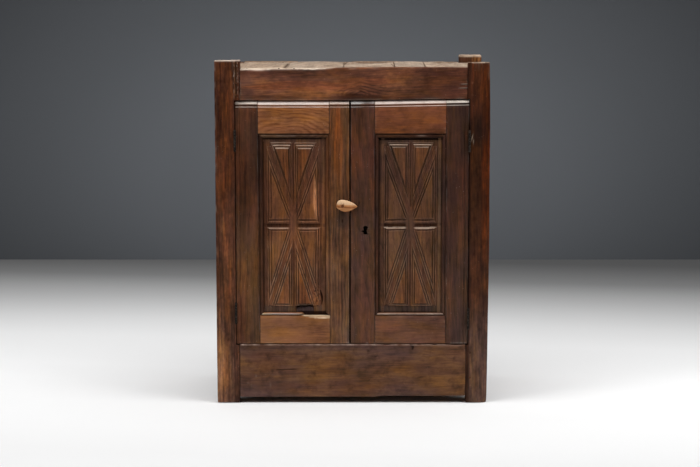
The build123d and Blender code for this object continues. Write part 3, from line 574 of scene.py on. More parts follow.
# the colours of old waxed and bare boards are given to each wood() call as dark, mid, light; WOODS is left empty and
# not used
WOODS = {}


def rect_section(a0, a1, b0, b1, r=2.2, da=4.0, db=5.0, front=None):
    """Section of a squared board: a and b are the two cross axes."""
    na, nb = max(2, int((a1 - a0) / da)), max(1, int((b1 - b0) / db))
    p, e = ring([(a0, b0), (a1, b0), (a1, b1), (a0, b1)], [r] * 4, [na, nb, na, nb])
    return lambda t: (p, e)


def tone(V, centre, radius, amount, color=(1, 1, 1), seed=0, ragged=0.5):
    """Soft-edged patch: 0..1 mask around a point (x, z) with its two radii."""
    q = np.stack([(V[:, 0] - centre[0]) / radius[0], (V[:, 2] - centre[1]) / radius[1]], 1)
    r = np.linalg.norm(q, axis=1) + ragged * fbm(V, (radius[0], 40, radius[1]), seed, 3)
    return amount * (1 - smooth(0.55, 1.15, r))


def blendc(tint, mask, color):
    return tint * (1 - mask[:, None]) + np.asarray(color)[None, :] * mask[:, None]


# ------------------------------------------------------------------ posts
def post_paint(side):
    def paint(V, nrm, E, wear_and_highlight):
        tint = np.ones((len(V), 3))
        x, y, z = V[:, 0], V[:, 1] - YF, V[:, 2]
        if side == 0:
            # painted light falloff: the post darkened towards its top and lightened towards its foot
            tint = tint * (0.76 + 0.24 * smooth(1020, 700, z) + 0.30 * smooth(420, 120, z))[:, None]
            tint = tint * blendc(tint * 0 + 1, smooth(640, 800, z), (0.87, 0.67, 0.53))
            tint = tint * blendc(tint * 0 + 1, smooth(400, 220, z), (1.10, 1.30, 1.66))
            wear_and_highlight = wear_and_highlight * (1 - 0.85 * (x > -410) * (z < 1057))
            tint = blendc(tint, 0.6 * smooth(1075, 1120, z), (0.5, 0.42, 0.4))
            o = np.exp(-((x + 432 + 5 * np.sin(z / 90)) / 14) ** 2) * smooth(1105, 1080, z)
            o = o * (1 - 0.6 * smooth(430, 330, z))
            tint = blendc(tint, 0.95 * o * np.clip(0.5 + 1.1 * fbm(V, (16, 30, 90), 9, 3), 0, 1), (1.75, 1.3, 0.85))
            foot = smooth(430, 330, z)
            tint = tint * (1 + foot * (0.24 * np.exp(-((x + 456) / 9) ** 2) - 0.26 * np.exp(-((x + 420) / 12) ** 2)))[:, None]
            e = smooth(-446, -462, x) * (1 - 0.8 * foot) + smooth(-416, -406, x) * (z < 1060)
            tint = blendc(tint, 0.7 * np.clip(e, 0, 1) * (y < 20), (0.62, 0.5, 0.5))
            r = np.hypot((x + 428) / 9, (z - 225) / 12)
            tint = blendc(tint, 0.8 * np.exp(-r ** 2), (0.35, 0.26, 0.22))
            tint = blendc(tint, 0.4 * np.exp(-((r - 1.7) / 0.5) ** 2), (0.5, 0.42, 0.38))
            slit = np.exp(-((x + 399.5) / 1.8) ** 2) * smooth(150, 156, z) * smooth(184, 178, z)
            tint = blendc(tint, 0.9 * slit, (0.12, 0.1, 0.1))
        else:
            # painted light falloff: the post darkened towards its top and lightened towards its foot
            tint = tint * (0.66 + 0.34 * smooth(960, 560, z) + 0.42 * smooth(430, 130, z))[:, None]
            tint = blendc(tint, 0.6 * smooth(500, 100, z), (1.25, 1.35, 1.45))
            tint = tint * blendc(tint * 0 + 1, smooth(560, 800, z), (1.04, 0.92, 0.56))
            tint = tint * blendc(tint * 0 + 1, smooth(420, 220, z), (1.1, 1.65, 2.9))
            tint = tint * (1 - 0.18 * np.exp(-((z - 640) / 170) ** 2))[:, None]
            fac = smooth(440, 452, x + 4 * fbm(V, (20, 20, 90), 57, 2)) * (y < 30)
            warm = np.clip(0.75 + 0.9 * fbm(V, (12, 20, 60), 58, 2), 0.2, 1.2) * (1 - 0.45 * smooth(980, 1070, z))
            tint = tint * blendc(tint * 0 + 1, np.clip(fac * smooth(460, 620, z) * warm, 0, 1), (1.98, 1.26, 0.44))
            glow = smooth(975, 1040, z) * (1 - fac) * (y < 30) * np.clip(0.75 + 0.9 * fbm(V, (12, 20, 50), 59, 2), 0, 1)
            tint = blendc(tint, 0.75 * glow, (1.62, 1.22, 1.0))
            tint = tint * blendc(tint * 0 + 1, fac * smooth(500, 250, z), (0.87, 0.86, 0.86))
        st = np.clip(fbm(V, (9, 30, 110), 7 + side, 3) * 1.6, 0, 1)[:, None]
        tint = tint * (1 + 0.34 * st * np.array([[0.95, 0.62, 0.3]]))
        st = np.clip(fbm(V, (8, 30, 90), 27 + side, 3) * 1.7 - 0.05, 0, 1)[:, None]
        tint = tint * (1 - 0.4 * st * np.array([[0.85, 0.9, 0.92]]))
        st = np.clip(fbm(V, (16, 30, 40), 37 + side, 3) * 1.7 - 0.05, 0, 1)[:, None]
        tint = tint * (1 - 0.3 * st)
        mot = fbm(V, (7, 20, 11), 47 + side, 2)[:, None]
        tint = tint * (1 + 0.34 * mot * np.array([[1.0, 0.85, 0.8]]))
        wear_and_highlight = wear_and_highlight * (0.3 if side == 0 else 0.3 * smooth(1100, 1170, z) + 0.3 * smooth(60, 20, z))
        top = smooth(1188 - 5, 1188, z) if side == 1 else smooth(1189, 1194, z)
        wear_and_highlight = np.maximum(wear_and_highlight, top * ((0.62 if side else 0.9) + 0.5 * fbm(V, 9, 21, 2)))
        if side == 1:
            # raw fibres under the top, a dark stain round the hinge, and painted shade on the arris beside rail and
            # door
            k = smooth(1150, 1178, z) * (x > 396) * (x < 446) * np.clip(0.35 + 1.3 * fbm(V, (4, 20, 30), 29, 3), 0, 1)
            tint = blendc(tint, 0.8 * k, (1.5, 2.1, 2.6))
            k = np.exp(-((x - 438) / 22) ** 2) * np.exp(-((z - 952) / 44) ** 2) * (y < 12)
            tint = blendc(tint, 0.8 * k, (0.42, 0.42, 0.5))
            k = smooth(413, 405, x) * (y < 30)
            tint = blendc(tint, 0.85 * k, (0.38, 0.36, 0.38))
            wear_and_highlight = wear_and_highlight * (1 - 0.9 * k)
            k = np.exp(-((x - 411.5 - 0.22 * (z - 926)) / 1.7) ** 2) * np.exp(-((z - 930) / 10) ** 2)
            k = np.maximum(k, 0.7 * np.exp(-((x - 417) / 1.6) ** 2) * np.exp(-((z - 917) / 7) ** 2))
            wear_and_highlight = np.maximum(wear_and_highlight, 0.65 * k * (y < 12))
            k = np.exp(-((x - 410) / 7) ** 2) * smooth(1150, 1120, z) * smooth(980, 1010, z) * (y < 12)
            tint = blendc(tint, 0.45 * k, (1.25, 0.95, 0.8))
        if side == 0:
            # chewed pale beads down both sides of the gap beside the rail
            dots = np.clip(fbm(V, (4, 20, 6.0), 23, 3) * 2.6 - 0.15, 0, 1) * np.clip(0.8 + 1.2 * fbm(V, (40, 40, 22), 24, 2), 0.1, 1)
            wob = 1.6 * fbm(V, (30, 30, 16), 25, 2)
            k = 0.8 * np.exp(-((x + 402.0 + wob) / 1.7) ** 2) + np.exp(-((x + 390.0 + wob) / 2.0) ** 2)
            wear_and_highlight = np.maximum(wear_and_highlight, 0.5 * k * dots * smooth(1062, 1075, z) * (y < 8))
            tint = blendc(tint, 0.8 * np.exp(-((x + 405.5 + wob) / 1.4) ** 2) * smooth(1075, 1090, z) * (y < 8), (0.3, 0.26, 0.26))
            mid = smooth(-403, -401, x) * smooth(-391, -393, x) * smooth(1066, 1076, z) * (y < 8)
            tint = blendc(tint, 0.7 * mid, (0.85, 0.95, 1.0))
            # painted shade: a dark line down the hollow line beside the chewed strip
            tint = blendc(tint, 0.9 * np.exp(-((x + 395.0) / 1.5) ** 2) * smooth(1066, 1076, z) * (y < 8), (0.12, 0.1, 0.1))
        return tint, wear_and_highlight
    return paint


MAT_LPOST = wood("left_post_wood", "z", (48, 22, 12), (104, 55, 32), (150, 84, 48), alt=(70, 36, 24), alt_amount=0.6,
                 seed=11, ring=9.0, figure=0.2, streak=0.7, bare_and_highlight=(216, 198, 182))
MAT_RPOST = wood("right_post_wood", "z", (42, 20, 12), (86, 46, 28), (122, 66, 38), alt=(60, 34, 26), alt_amount=0.6,
                 seed=12, ring=9.0, figure=0.2, streak=0.7, bare_and_highlight=(200, 178, 155))


def left_post_section(z):
    s = 3.5
    inner_top, inner_low = -382.0, -389.6
    if z > 1057:
        xi = inner_top
        c = [(-HALF, 0), (REB_L, 0), (xi, 0), (xi, 34), (xi, 60), (-HALF, 60)]
    elif z < 206:
        xi = inner_low
        c = [(-HALF, 0), (REB_L, 0), (xi, 0), (xi, 34), (xi, 60), (-HALF, 60)]
    else:
        c = [(-HALF, 0), (REB_L, 0), (REB_L, 34), (FL, 34), (FL, 60), (-HALF, 60)]
    inside = not (z > 1057 or z < 206)
    rr = [3.0, 1.6 if inside else 1.0, 1.0 if inside else 2.4, 1.0, 2.4, 3.0]
    return ring(c, rr, [38, 14, 6, 7, 20, 15])


def left_post_shape(V, nrm, E):
    x, y, z = V[:, 0], V[:, 1] - YF, V[:, 2]
    # chewed and beaded inner arris beside the top rail
    zone = smooth(1068, 1082, z) * smooth(-402, -396, x) * (y < 8)
    d = -zone * (1.6 + 2.2 * fbm(V, (5, 20, 7), 31, 2))
    # a hollow line beside it
    d -= smooth(1060, 1075, z) * np.exp(-((x + 395.0) / 1.6) ** 2) * (y < 4) * 3.0
    # worn foot and top
    d -= smooth(26, 4, z) * (1.2 + 1.2 * fbm(V, 14, 33, 2))
    d -= smooth(1186, 1194, z) * (1.2 + 2.0 * fbm(V, 12, 34, 2))
    return d


zl = spread(0, 1194, 5.0, fine=[(1066, 1194, 2.6)], er=3.0)
zl = np.unique(np.concatenate([zl, [205.8, 206.2, 1056.8, 1057.2]]))
sweep("front_left_post_wood", "front_left_post", "z", zl, left_post_section, er=3.0, seed=1, mat=MAT_LPOST,
      paint=post_paint(0), shape=left_post_shape, edge_wear=0.8, wave=0.5)


def right_post_section(z):
    # the rebate runs a little higher than the left one's, to clear the warped door top
    inside = not (z > 1063 or z < 206)
    if inside:
        c = [(REB_R, 0), (444, 0), (HALF, 11), (HALF, 60), (FR, 60), (FR, 34), (REB_R, 34)]
    else:
        c = [(FR, 0), (444, 0), (HALF, 11), (HALF, 60), (FR, 60), (FR, 34), (FR, 17)]
    rr = [2.2, 2.0, 2.4, 3.0, 2.0, 1.0, 1.0]
    return ring(c, rr, [24, 12, 13, 19, 7, 5, 9])


def right_post_shape(V, nrm, E):
    z = V[:, 2]
    d = -smooth(24, 4, z) * (1.2 + 1.2 * fbm(V, 14, 43, 2))
    d -= smooth(1180, 1188, z) * (1.2 + 2.0 * fbm(V, 12, 44, 2))
    d += smooth(0.75, 0.95, nrm[:, 0]) * smooth(462, 466, V[:, 0]) * np.interp(
        z, [20, 60, 190, 330, 470, 610, 750, 890, 960, 1100, 1180], [2.2, 3.0, 3.8, 4.9, 6.0, 6.6, 5.6, 6.0, 6.2, 4.4, 2.6])
    return d


zr = spread(0, 1188, 5.0, fine=[(1150, 1188, 3.0)], er=3.0)
zr = np.unique(np.concatenate([zr, [205.8, 206.2, 1062.8, 1063.2]]))
sweep("front_right_post_wood", "front_right_post", "z", zr, right_post_section, er=3.0, seed=2, mat=MAT_RPOST,
      paint=post_paint(1), shape=right_post_shape, edge_wear=0.7, wave=0.5)


def rear_post(side):
    x0, x1 = (-HALF, RL) if side == 0 else (RR, HALF)
    top = 1168.0 if side == 0 else 1193.6
    sec = rect_section(x0, x1, 390, 450, r=2.8, da=5, db=6)

    def shape(V, nrm, E):
        z = V[:, 2]
        d = -smooth(24, 4, z) * (1.0 + fbm(V, 14, 53, 2))
        d -= smooth(top - 9, top, z) * (1.5 + 2.0 * fbm(V, 10, 54, 2))
        return d

    def paint(V, nrm, E, wear_and_highlight):
        tint, wear_and_highlight = post_paint(1)(V, nrm, E, wear_and_highlight)
        z = V[:, 2]
        if side == 0:
            tint = blendc(tint, smooth(1120, 1160, z), (0.85, 0.7, 0.6))
            wear_and_highlight = wear_and_highlight * (1 - smooth(1120, 1150, z) * 0.8)
        else:
            st = np.clip(fbm(V, (5, 20, 60), 61, 3) + 0.15, 0, 1)
            tint = blendc(tint, smooth(1130, 1165, z) * 0.9, (1.25, 1.45, 1.6))
            tint = blendc(tint, smooth(1130, 1165, z) * np.clip(st * 1.6, 0, 1), (0.5, 0.5, 0.45))
            st = np.clip(fbm(V, (4, 20, 30), 63, 3) * 2.2, 0, 1) * smooth(395, 430, V[:, 0])
            tint = blendc(tint, smooth(1130, 1165, z) * st, (2.4, 3.2, 3.6))
        return tint, wear_and_highlight
    sweep(("rear_left" if side == 0 else "rear_right") + "_post_wood", ("rear_left" if side == 0 else "rear_right") + "_post",
          "z", spread(0, top, 8.0, fine=[(top - 40, top, 3.0)], er=3.0), sec, er=3.0, seed=4 + side,
          mat=MAT_RPOST, paint=paint, shape=shape, edge_wear=1.4)


rear_post(0)
rear_post(1)


# ------------------------------------------------------------------ front rails
MAT_TRAIL = wood("top_rail_wood", "x", (52, 26, 15), (110, 62, 38), (158, 92, 54), alt=(66, 38, 27), alt_amount=0.5,
                 seed=21, ring=8.0, figure=0.12, tilt=(0.2, 0.14), streak=0.4, bare_and_highlight=(214, 196, 178), fine=0.4, bump=0.3, blotch=1.2)
MAT_APRON = wood("apron_face_wood", "x", (46, 28, 18), (92, 58, 36), (124, 82, 48), alt=(84, 60, 52), alt_amount=0.55,
                 seed=22, ring=10.0, figure=0.15, tilt=(0.1, 0.08), streak=0.5, bare_and_highlight=(168, 146, 134), grime=0.6, fine=0.45)


def rail_top(x):
    """Height of the top rail's uneven upper edge."""
    return 1164.5 + np.interp(x, [-390, -200, -130, -75, -50, 0, 60, 100, 250, 330, 380, 397],
                              [0, 0, 0.8, 2.4, 4.2, 5.4, 6.0, 6.2, 7.0, 6.6, 5.2, 4.8])


def top_rail_section(x):
    top = float(rail_top(x))
    low = 1057 + 5.2 * max(0.0, x / 390)
    c = [(5.5, low), (5.5, top), (33, top), (33, 1145), (45, 1145), (45, low)]
    return ring(c, [1.6, 3.0, 1.0, 0.8, 1.5, 1.5], [92, 8, 5, 3, 20, 10])


def top_rail_shape(V, nrm, E):
    x, y, z = V[:, 0], V[:, 1] - YF, V[:, 2]
    top = rail_top(x)
    near = np.exp(-(((z - top) / 5.0) ** 2)) * (y < 20)
    chip = np.clip(fbm(V, (26, 30, 30), 71, 3) - 0.05, 0, 1)
    d = -near * chip * 3.5
    # larger broken bite near the left end
    d -= np.exp(-((x + 318) / 26) ** 2) * np.exp(-(((z - top) / 4.5) ** 2)) * (y < 16) * 4.0
    # knot: a slight hollow
    r = np.hypot((x - 11) / 26, (z - 1086) / 14)
    d += -0.9 * np.exp(-r ** 2)
    # two drying cracks at the right end
    for zc in (1113.4, 1099.8):
        d -= np.exp(-((z - zc + 2.6 - 0.02 * (x - 380)) / 1.3) ** 2) * smooth(356, 380, x) * (y < 9) * 2.6
    return d


def top_rail_paint(V, nrm, E, wear_and_highlight):
    x, y, z = V[:, 0], V[:, 1] - YF, V[:, 2]
    tint = np.ones((len(V), 3))
    tint *= (1.25 - 0.58 * smooth(-100, 240, x))[:, None]
    # grain flows round the knot
    u = z - 1076
    phase = u - 27 * np.exp(-(np.abs(x - 29) / np.where(x < 29, 24, 40)) ** 1.5) * np.where(u > 0, np.exp(-u / 62), 1)
    phase = phase + 4 * np.exp(-((x - 118) / 36) ** 2) * np.exp(-((z - 1100) / 22) ** 2)
    phase = phase + 6 * fbm(V, (90, 60, 40), 171, 2) + 0.012 * (x + 60)
    near = 0.2 + 0.7 * np.exp(-((x - 30) / 70) ** 2) * smooth(1146, 1112, z)
    line = np.sin(phase * 2 * math.pi / 13.5) * np.clip(0.75 + 0.7 * fbm(V, (60, 30, 16), 172, 2), 0.1, 1.2) * near
    tint = tint * (1 - 0.62 * np.clip(line, 0, 1))[:, None]
    tint = blendc(tint, 0.55 * np.clip(-line, 0, 1), (1.5, 1.3, 1.05))
    tint = blendc(tint, 0.85 * smooth(1132, 1156, z + 9 * fbm(V, (60, 30, 14), 174, 2)), (0.56, 0.50, 0.55))
    mot = fbm(V, (16, 20, 8), 175, 3)[:, None]
    tint = tint * (1 + 0.3 * mot * np.array([[1.0, 0.9, 0.8]]))
    tint = blendc(tint, tone(V, (330, 1110), (110, 44), 0.55, seed=176), (0.62, 0.50, 0.60))
    # painted shade: the rail's lower edge darkened along the gap above the door tops
    tint = blendc(tint, 0.78 * smooth(1082, 1062, z) * (0.5 + 0.5 * smooth(-80, 0, x)), (0.40, 0.32, 0.32))
    tint = blendc(tint, tone(V, (-365, 1105), (34, 60), 0.7, seed=72), (0.62, 0.72, 0.95))
    tint = blendc(tint, tone(V, (-160, 1108), (190, 16), 0.6, seed=73), (1.45, 1.1, 0.8))
    tint = blendc(tint, tone(V, (60, 1122), (120, 14), 0.5, seed=74), (1.4, 1.1, 0.85))
    eye = np.exp(-(((x - 31) / 7) ** 2 + ((z - 1090) / 3.2) ** 2))
    tint = blendc(tint, 0.85 * eye, (0.3, 0.26, 0.26))
    tint = blendc(tint, 0.8 * np.exp(-(((x + 4) / 17) ** 2 + ((z - 1072) / 11) ** 2) ** 2), (0.34, 0.28, 0.28))
    r = np.hypot((x - 14) / 30, (z - 1078) / 14)
    tint = blendc(tint, 0.85 * np.exp(-(r * 1.5) ** 2) * smooth(1088, 1078, z), (0.25, 0.2, 0.2))
    rr = 0.5 + 0.5 * np.sin(r * 13)
    tint = blendc(tint, 0.55 * np.exp(-((r - 1.3) / 0.8) ** 2) * rr, (0.42, 0.35, 0.33))
    # painted shade: a dark patch in the gap above the right door's lock stile
    tint = blendc(tint, tone(V, (20, 1068), (80, 11), 0.8, seed=75), (0.35, 0.3, 0.3))
    top = rail_top(x)
    arris = np.exp(-(((z - top) / 3.6) ** 2)) * (y < 30)
    chip = np.clip(fbm(V, (26, 30, 30), 71, 3) + 0.28, 0, 1)
    bare_edge = 1 - 0.95 * smooth(-95, -55, x)
    tint = blendc(tint, 0.75 * np.exp(-((z - top + 1.5) / 4.2) ** 2) * smooth(-80, -50, x) * (y < 32), (0.5, 0.47, 0.5))
    tint = blendc(tint, 0.5 * smooth(1128, 1150, z) * smooth(-40, 20, x) * smooth(190, 120, x), (0.78, 0.78, 0.8))
    wear_and_highlight = np.maximum(wear_and_highlight * 0.35, arris * (0.35 + 1.1 * chip) * bare_edge)
    wear_and_highlight = np.maximum(wear_and_highlight, np.exp(-((x + 318) / 30) ** 2) * np.exp(-(((z - top) / 5.0) ** 2)) * (y < 20))
    for zc in (1113.4, 1099.8):
        k = smooth(362, 380, x + 6 * fbm(V, (9, 9, 9), 76, 2)) * (y < 9)
        wear_and_highlight = np.maximum(wear_and_highlight, np.exp(-((z - zc - 0.02 * (x - 380)) / 1.1) ** 2) * k * 0.5)
        tint = blendc(tint, 0.9 * np.exp(-((z - zc + 2.6 - 0.02 * (x - 380)) / 1.5) ** 2) * k, (0.2, 0.16, 0.16))
    return tint, wear_and_highlight


sweep("top_front_rail_wood", "top_front_rail", "x", spread(-382.5, 396.6, 2.4, er=1.0), top_rail_section, er=1.0, seed=6,
      mat=MAT_TRAIL, paint=top_rail_paint, shape=top_rail_shape, edge_wear=0.8)


def apron_section(x):
    low = 21.5 + 3.5 * float(smooth(80, 104, x))
    c = [(0, low), (0, APRON_TOP), (40, APRON_TOP), (40, low)]
    return ring(c, [2.0, 4.2, 2.0, 2.0], [116, 9, 30, 8], k=4)


def apron_shape(V, nrm, E):
    x, y, z = V[:, 0], V[:, 1] - YF, V[:, 2]
    f = y < 6
    d = -np.exp(-((z - 119.5 - 0.04 * (x + 225)) / 1.3) ** 2) * smooth(-272, -255, x) * smooth(-180, -205, x) * f * 2.4
    d -= 0.5 * np.exp(-(np.hypot((x - 205) / 9, (z - 182) / 14) ** 2)) * f
    near = np.exp(-(((z - APRON_TOP) / 5.0) ** 2)) * (y < 20)
    d -= near * np.clip(fbm(V, (24, 30, 30), 82, 3) - 0.05, 0, 1) * 4.5
    # a small wedge broken out of the upper edge
    d -= 5.0 * smooth(8.5, 5.5, np.abs(x - 212) + 0.25 * np.clip(APRON_TOP - z, 0, 40)) * smooth(APRON_TOP - 22, APRON_TOP - 15, z) * f
    return d


def apron_paint(V, nrm, E, wear_and_highlight):
    x, y, z = V[:, 0], V[:, 1] - YF, V[:, 2]
    tint = np.ones((len(V), 3))
    tint = blendc(tint, tone(V, (-340, 95), (110, 100), 0.8, seed=83), (0.95, 0.98, 1.3))
    tint = blendc(tint, tone(V, (-300, 150), (70, 45), 0.5, seed=84), (0.75, 0.6, 0.55))
    tint = blendc(tint, tone(V, (60, 125), (190, 55), 0.55, seed=85), (1.25, 1.15, 0.85))
    tint = blendc(tint, tone(V, (-80, 160), (120, 30), 0.4, seed=86), (1.15, 1.05, 0.8))
    tint = blendc(tint, tone(V, (-60, 50), (240, 30), 0.45, seed=87), (0.95, 0.8, 0.85))
    tint = blendc(tint, 0.5 * smooth(194, 201, z) * smooth(207, 202, z) * (y < 3), (0.6, 0.52, 0.5))
    tint = blendc(tint, 0.8 * np.exp(-((z - 119.5 - 0.04 * (x + 225)) / 2.0) ** 2) * smooth(-280, -255, x)
                  * smooth(-180, -205, x) * (y < 6), (0.16, 0.12, 0.1))
    r = np.hypot((x - 205) / 8, (z - 186) / 16)
    tint = blendc(tint, 0.5 * np.exp(-r ** 2) * (y < 6), (0.3, 0.25, 0.22))
    tint = blendc(tint, 0.8 * np.exp(-np.hypot((x - 58) / 4, (z - 186) / 4) ** 2) * (y < 6), (0.2, 0.16, 0.14))
    tint = blendc(tint, 0.75 * np.exp(-np.hypot((x - 240) / 14, (z - 92 - 0.2 * (x - 240)) / 3) ** 2) * (y < 6), (0.25, 0.2, 0.18))
    for xa, xb, zc in ((62, 190, 140.5), (66, 100, 166), (118, 124, 155)):
        tint = blendc(tint, 0.5 * np.exp(-((z - zc) / 1.6) ** 2) * smooth(xa - 8, xa + 8, x) * smooth(xb + 8, xb - 8, x) * (y < 6), (0.35, 0.28, 0.24))
    # painted shade: the broken-out wedge darkened
    wedge = smooth(8.5, 6.0, np.abs(x - 212) + 0.25 * np.clip(APRON_TOP - z, 0, 40)) * smooth(APRON_TOP - 22, APRON_TOP - 16, z) * (y < 6)
    tint = blendc(tint, 0.9 * wedge, (0.12, 0.1, 0.1))
    # long check in the board
    chk = np.exp(-((z - 133.6 - 0.012 * (x - 140) - 1.2 * fbm(V, (40, 30, 30), 187, 2)) / 1.3) ** 2) * smooth(48, 66, x) * smooth(226, 205, x)
    tint = blendc(tint, 0.6 * chk * (y < 6), (0.3, 0.24, 0.2))
    for xa, za, rx, rz, k in ((-333, 96, 2.2, 5, 0.8), (-361, 71, 4, 2.6, 0.6), (-284, 64, 2.6, 8, 0.6), (-301, 101, 3, 2, 0.5),
                              (-247, 38, 2.4, 5, 0.4), (-349, 60, 2.2, 8, 0.45), (-276, 100, 4, 1.6, 0.35)):
        wear_and_highlight = np.maximum(wear_and_highlight, k * np.exp(-np.hypot((x - xa) / rx, (z - za) / rz) ** 2) * (y < 6))
    dark = np.exp(-np.hypot((x - 83) / 7, (z - 165 - 0.5 * (x - 83)) / 2.4) ** 2)
    tint = blendc(tint, 0.8 * dark * (y < 6), (0.2, 0.16, 0.14))
    arris = np.exp(-(((z - APRON_TOP) / 3.6) ** 2)) * (y < 24)
    dots = 0.42 + 0.75 * fbm(V, (13, 30, 30), 88, 3) + 0.3 * smooth(-310, -350, x)
    wear_and_highlight = np.maximum(wear_and_highlight * 0.3, arris * dots * (1 - wedge))
    return tint, wear_and_highlight


sweep("apron_wood", "apron", "x", spread(-389.2, 396.8, 4.2, er=1.0), apron_section, er=1.0, seed=7, mat=MAT_APRON,
      paint=apron_paint, shape=apron_shape, edge_wear=0.8)


# ------------------------------------------------------------------ doors
NOSE = [(0, 13.5), (0.6, 11.2), (2.2, 8.6), (4.5, 6.4), (7.5, 4.5), (11.0, 3.0), (14.2, 2.1), (15.4, 2.5), (16.4, 4.4),
        (17.8, 4.9), (18.9, 3.6), (19.5, 1.4), (20.6, 0.3), (22.6, 0.2), (24.0, 0.9), (24.8, 1.5), (25.8, 0.5), (27.0, 0.0)]
NZ = np.array([n[0] for n in NOSE])
ND = np.array([n[1] for n in NOSE])
STICK = [(0.0, 0.0), (0.07, 0.25), (0.13, 2.0), (0.2, 3.2), (0.29, 3.3), (0.33, 2.2), (0.40, 1.0), (0.50, 0.6),
         (0.62, 1.0), (0.75, 2.2), (0.88, 4.2), (0.97, 6.6), (1.0, 8.0), (1.0, 11.3)]


def nose_depth(z):
    return float(np.interp(DOOR_TOP - z, NZ, ND)) if z > DOOR_TOP - 27 else 0.0


def stick_run(name, horizontal, edge, sight, a_out, b_out, a_in, b_in, seed, damage=None):
    """One run of the moulding round a sight opening, mitred at both ends."""
    prof = [(s, d) for s, d in STICK] + [(1.0, 27.0), (-0.02, 27.0)]
    prof[0] = (-0.02, 0.0)
    n = max(8, int(abs(b_out - a_out) / 6))
    pts = []
    for k in range(n + 1):
        f = k / n
        row = []
        for s, d in prof:
            ss = min(max(s, 0), 1)
            a = a_out + (a_in - a_out) * ss
            b = b_out + (b_in - b_out) * ss
            t = a + (b - a) * f
            w = edge + (sight - edge) * s
            row.append((t, YF + DY + d, w) if horizontal else (w, YF + DY + d, t))
        pts.append(row)
    R = np.array(pts)
    M, N = R.shape[:2]
    V = R.reshape(-1, 3)
    i = np.arange(M - 1)[:, None]
    j = np.arange(N)[None, :]
    q = np.stack([i * N + j, i * N + (j + 1) % N, (i + 1) * N + (j + 1) % N, (i + 1) * N + j], -1).reshape(-1, 4)
    faces = [q, np.arange(N)[None, ::-1], (np.arange(N) + (M - 1) * N)[None, :]]
    if volume(V, faces) < 0:
        faces = [f[:, ::-1] for f in faces]
    S = np.tile(np.array([s for s, d in prof]), M)
    face = np.tile(np.array([d < 12 and 0.02 < s for s, d in prof]), M)
    nick = fbm(V, (30, 8, 8) if horizontal else (8, 8, 30), seed, 3)
    dy = face * np.clip(nick, 0, 1) * 1.6
    if damage is not None:
        dy = dy + damage(V) * face
    V[:, 1] += np.minimum(dy, 4.0)
    bead = np.exp(-((S - 0.5) / 0.2) ** 2) * face
    wear_and_highlight = bead * np.clip(0.1 + 0.8 * nick, 0, 1) * 0.25
    return V, faces, wear_and_highlight, S


def join_parts(name, node, parts, mat):
    """Several closed shells as one piece: parts are (V, faces, tint, wear)."""
    Vs, tints, wears, byk, n = [], [], [], {}, 0
    for V, faces, tint, wear_and_highlight in parts:
        Vs.append(V)
        tints.append(tint)
        wears.append(wear_and_highlight)
        for f in faces:
            f = np.asarray(f)
            byk.setdefault(f.shape[1], []).append(f + n)
        n += len(V)
    faces = [np.concatenate(v) for v in byk.values()]
    ob = new_mesh(name, np.concatenate(Vs), faces)
    return attach(ob, node, np.concatenate(tints), np.concatenate(wears), mat)


def raw_sweep(axis, t, section, er, seed, edge_wear=1.0, shape=None, rough=1.0, wave=1.0):
    """As sweep, but gives back the arrays."""
    t = np.asarray(t, float)
    rings, edges = [], []
    t0, t1 = t[0], t[-1]
    for v in t:
        p, e = section(v)
        d = min(v - t0, t1 - v)
        if d < er:
            ins = er * (1 - math.sqrt(max(0.0, 1 - (1 - d / er) ** 2))) * 0.8
            lo, hi = p.min(0), p.max(0)
            p = np.clip(p, lo + ins, hi - ins)
        rings.append(p)
        edges.append(np.maximum(e, math.exp(-d / 3.0)))
    R = np.array(rings)
    M, N = R.shape[:2]
    T = np.repeat(t[:, None], N, 1)
    if axis == "z":
        P = np.stack([R[..., 0], R[..., 1] + YF, T], -1)
    else:
        P = np.stack([T, R[..., 0] + YF, R[..., 1]], -1)
    V = P.reshape(-1, 3)
    E = np.array(edges).reshape(-1)
    i = np.arange(M - 1)[:, None]
    j = np.arange(N)[None, :]
    q = np.stack([i * N + j, i * N + (j + 1) % N, (i + 1) * N + (j + 1) % N, (i + 1) * N + j], -1).reshape(-1, 4)
    faces = [q, np.arange(N)[None, ::-1], (np.arange(N) + (M - 1) * N)[None, :]]
    if volume(V, faces) < 0:
        faces = [f[:, ::-1] for f in faces]
    nrm = vertex_normals(V, [faces[0]])
    g = {"x": (9.0, 1.0, 1.0), "z": (1.0, 1.0, 9.0)}[axis]
    slow = fbm(V, np.array(g) * 22 + 30, seed, 2)
    fib = fbm(V, np.array(g) * 5, seed + 50, 2)
    nick = fbm(V, np.array(g) * 2.5 + 6, seed + 90, 2)
    d = -0.35 * wave * (slow + 1) * 0.5 - 0.13 * rough * (fib + 1)
    d -= E * edge_wear * (0.2 + 1.1 * np.clip(nick - 0.05, 0, 1) + 0.8 * np.clip(slow, 0, 1))
    if shape is not None:
        d = d + shape(V, nrm, E)
    V = V + nrm * d[:, None]
    wear_and_highlight = E * np.clip(0.1 + 0.9 * nick + 0.4 * slow, 0, 1) * edge_wear
    return V, faces, nrm, E, wear_and_highlight


def nose_wear_and_highlight(V, wear_and_highlight, amount, seed, width=13.6, line=0.5):
    """The rounded nosing along the doors' tops is paled where it faces up, partly rubbed and partly a painted
    highlight, with a painted highlight line along the bead below.
    """
    k = DOOR_TOP - V[:, 2]
    m = smooth(width + 1.2, width - 1.2, k) + np.exp(-((k - 20.6) / 1.1) ** 2) * line
    m = m * (V[:, 1] - YF < DY + 15)
    return np.maximum(wear_and_highlight, amount * m * (1.0 + 0.3 * fbm(V, (25, 8, 8), seed, 2)))


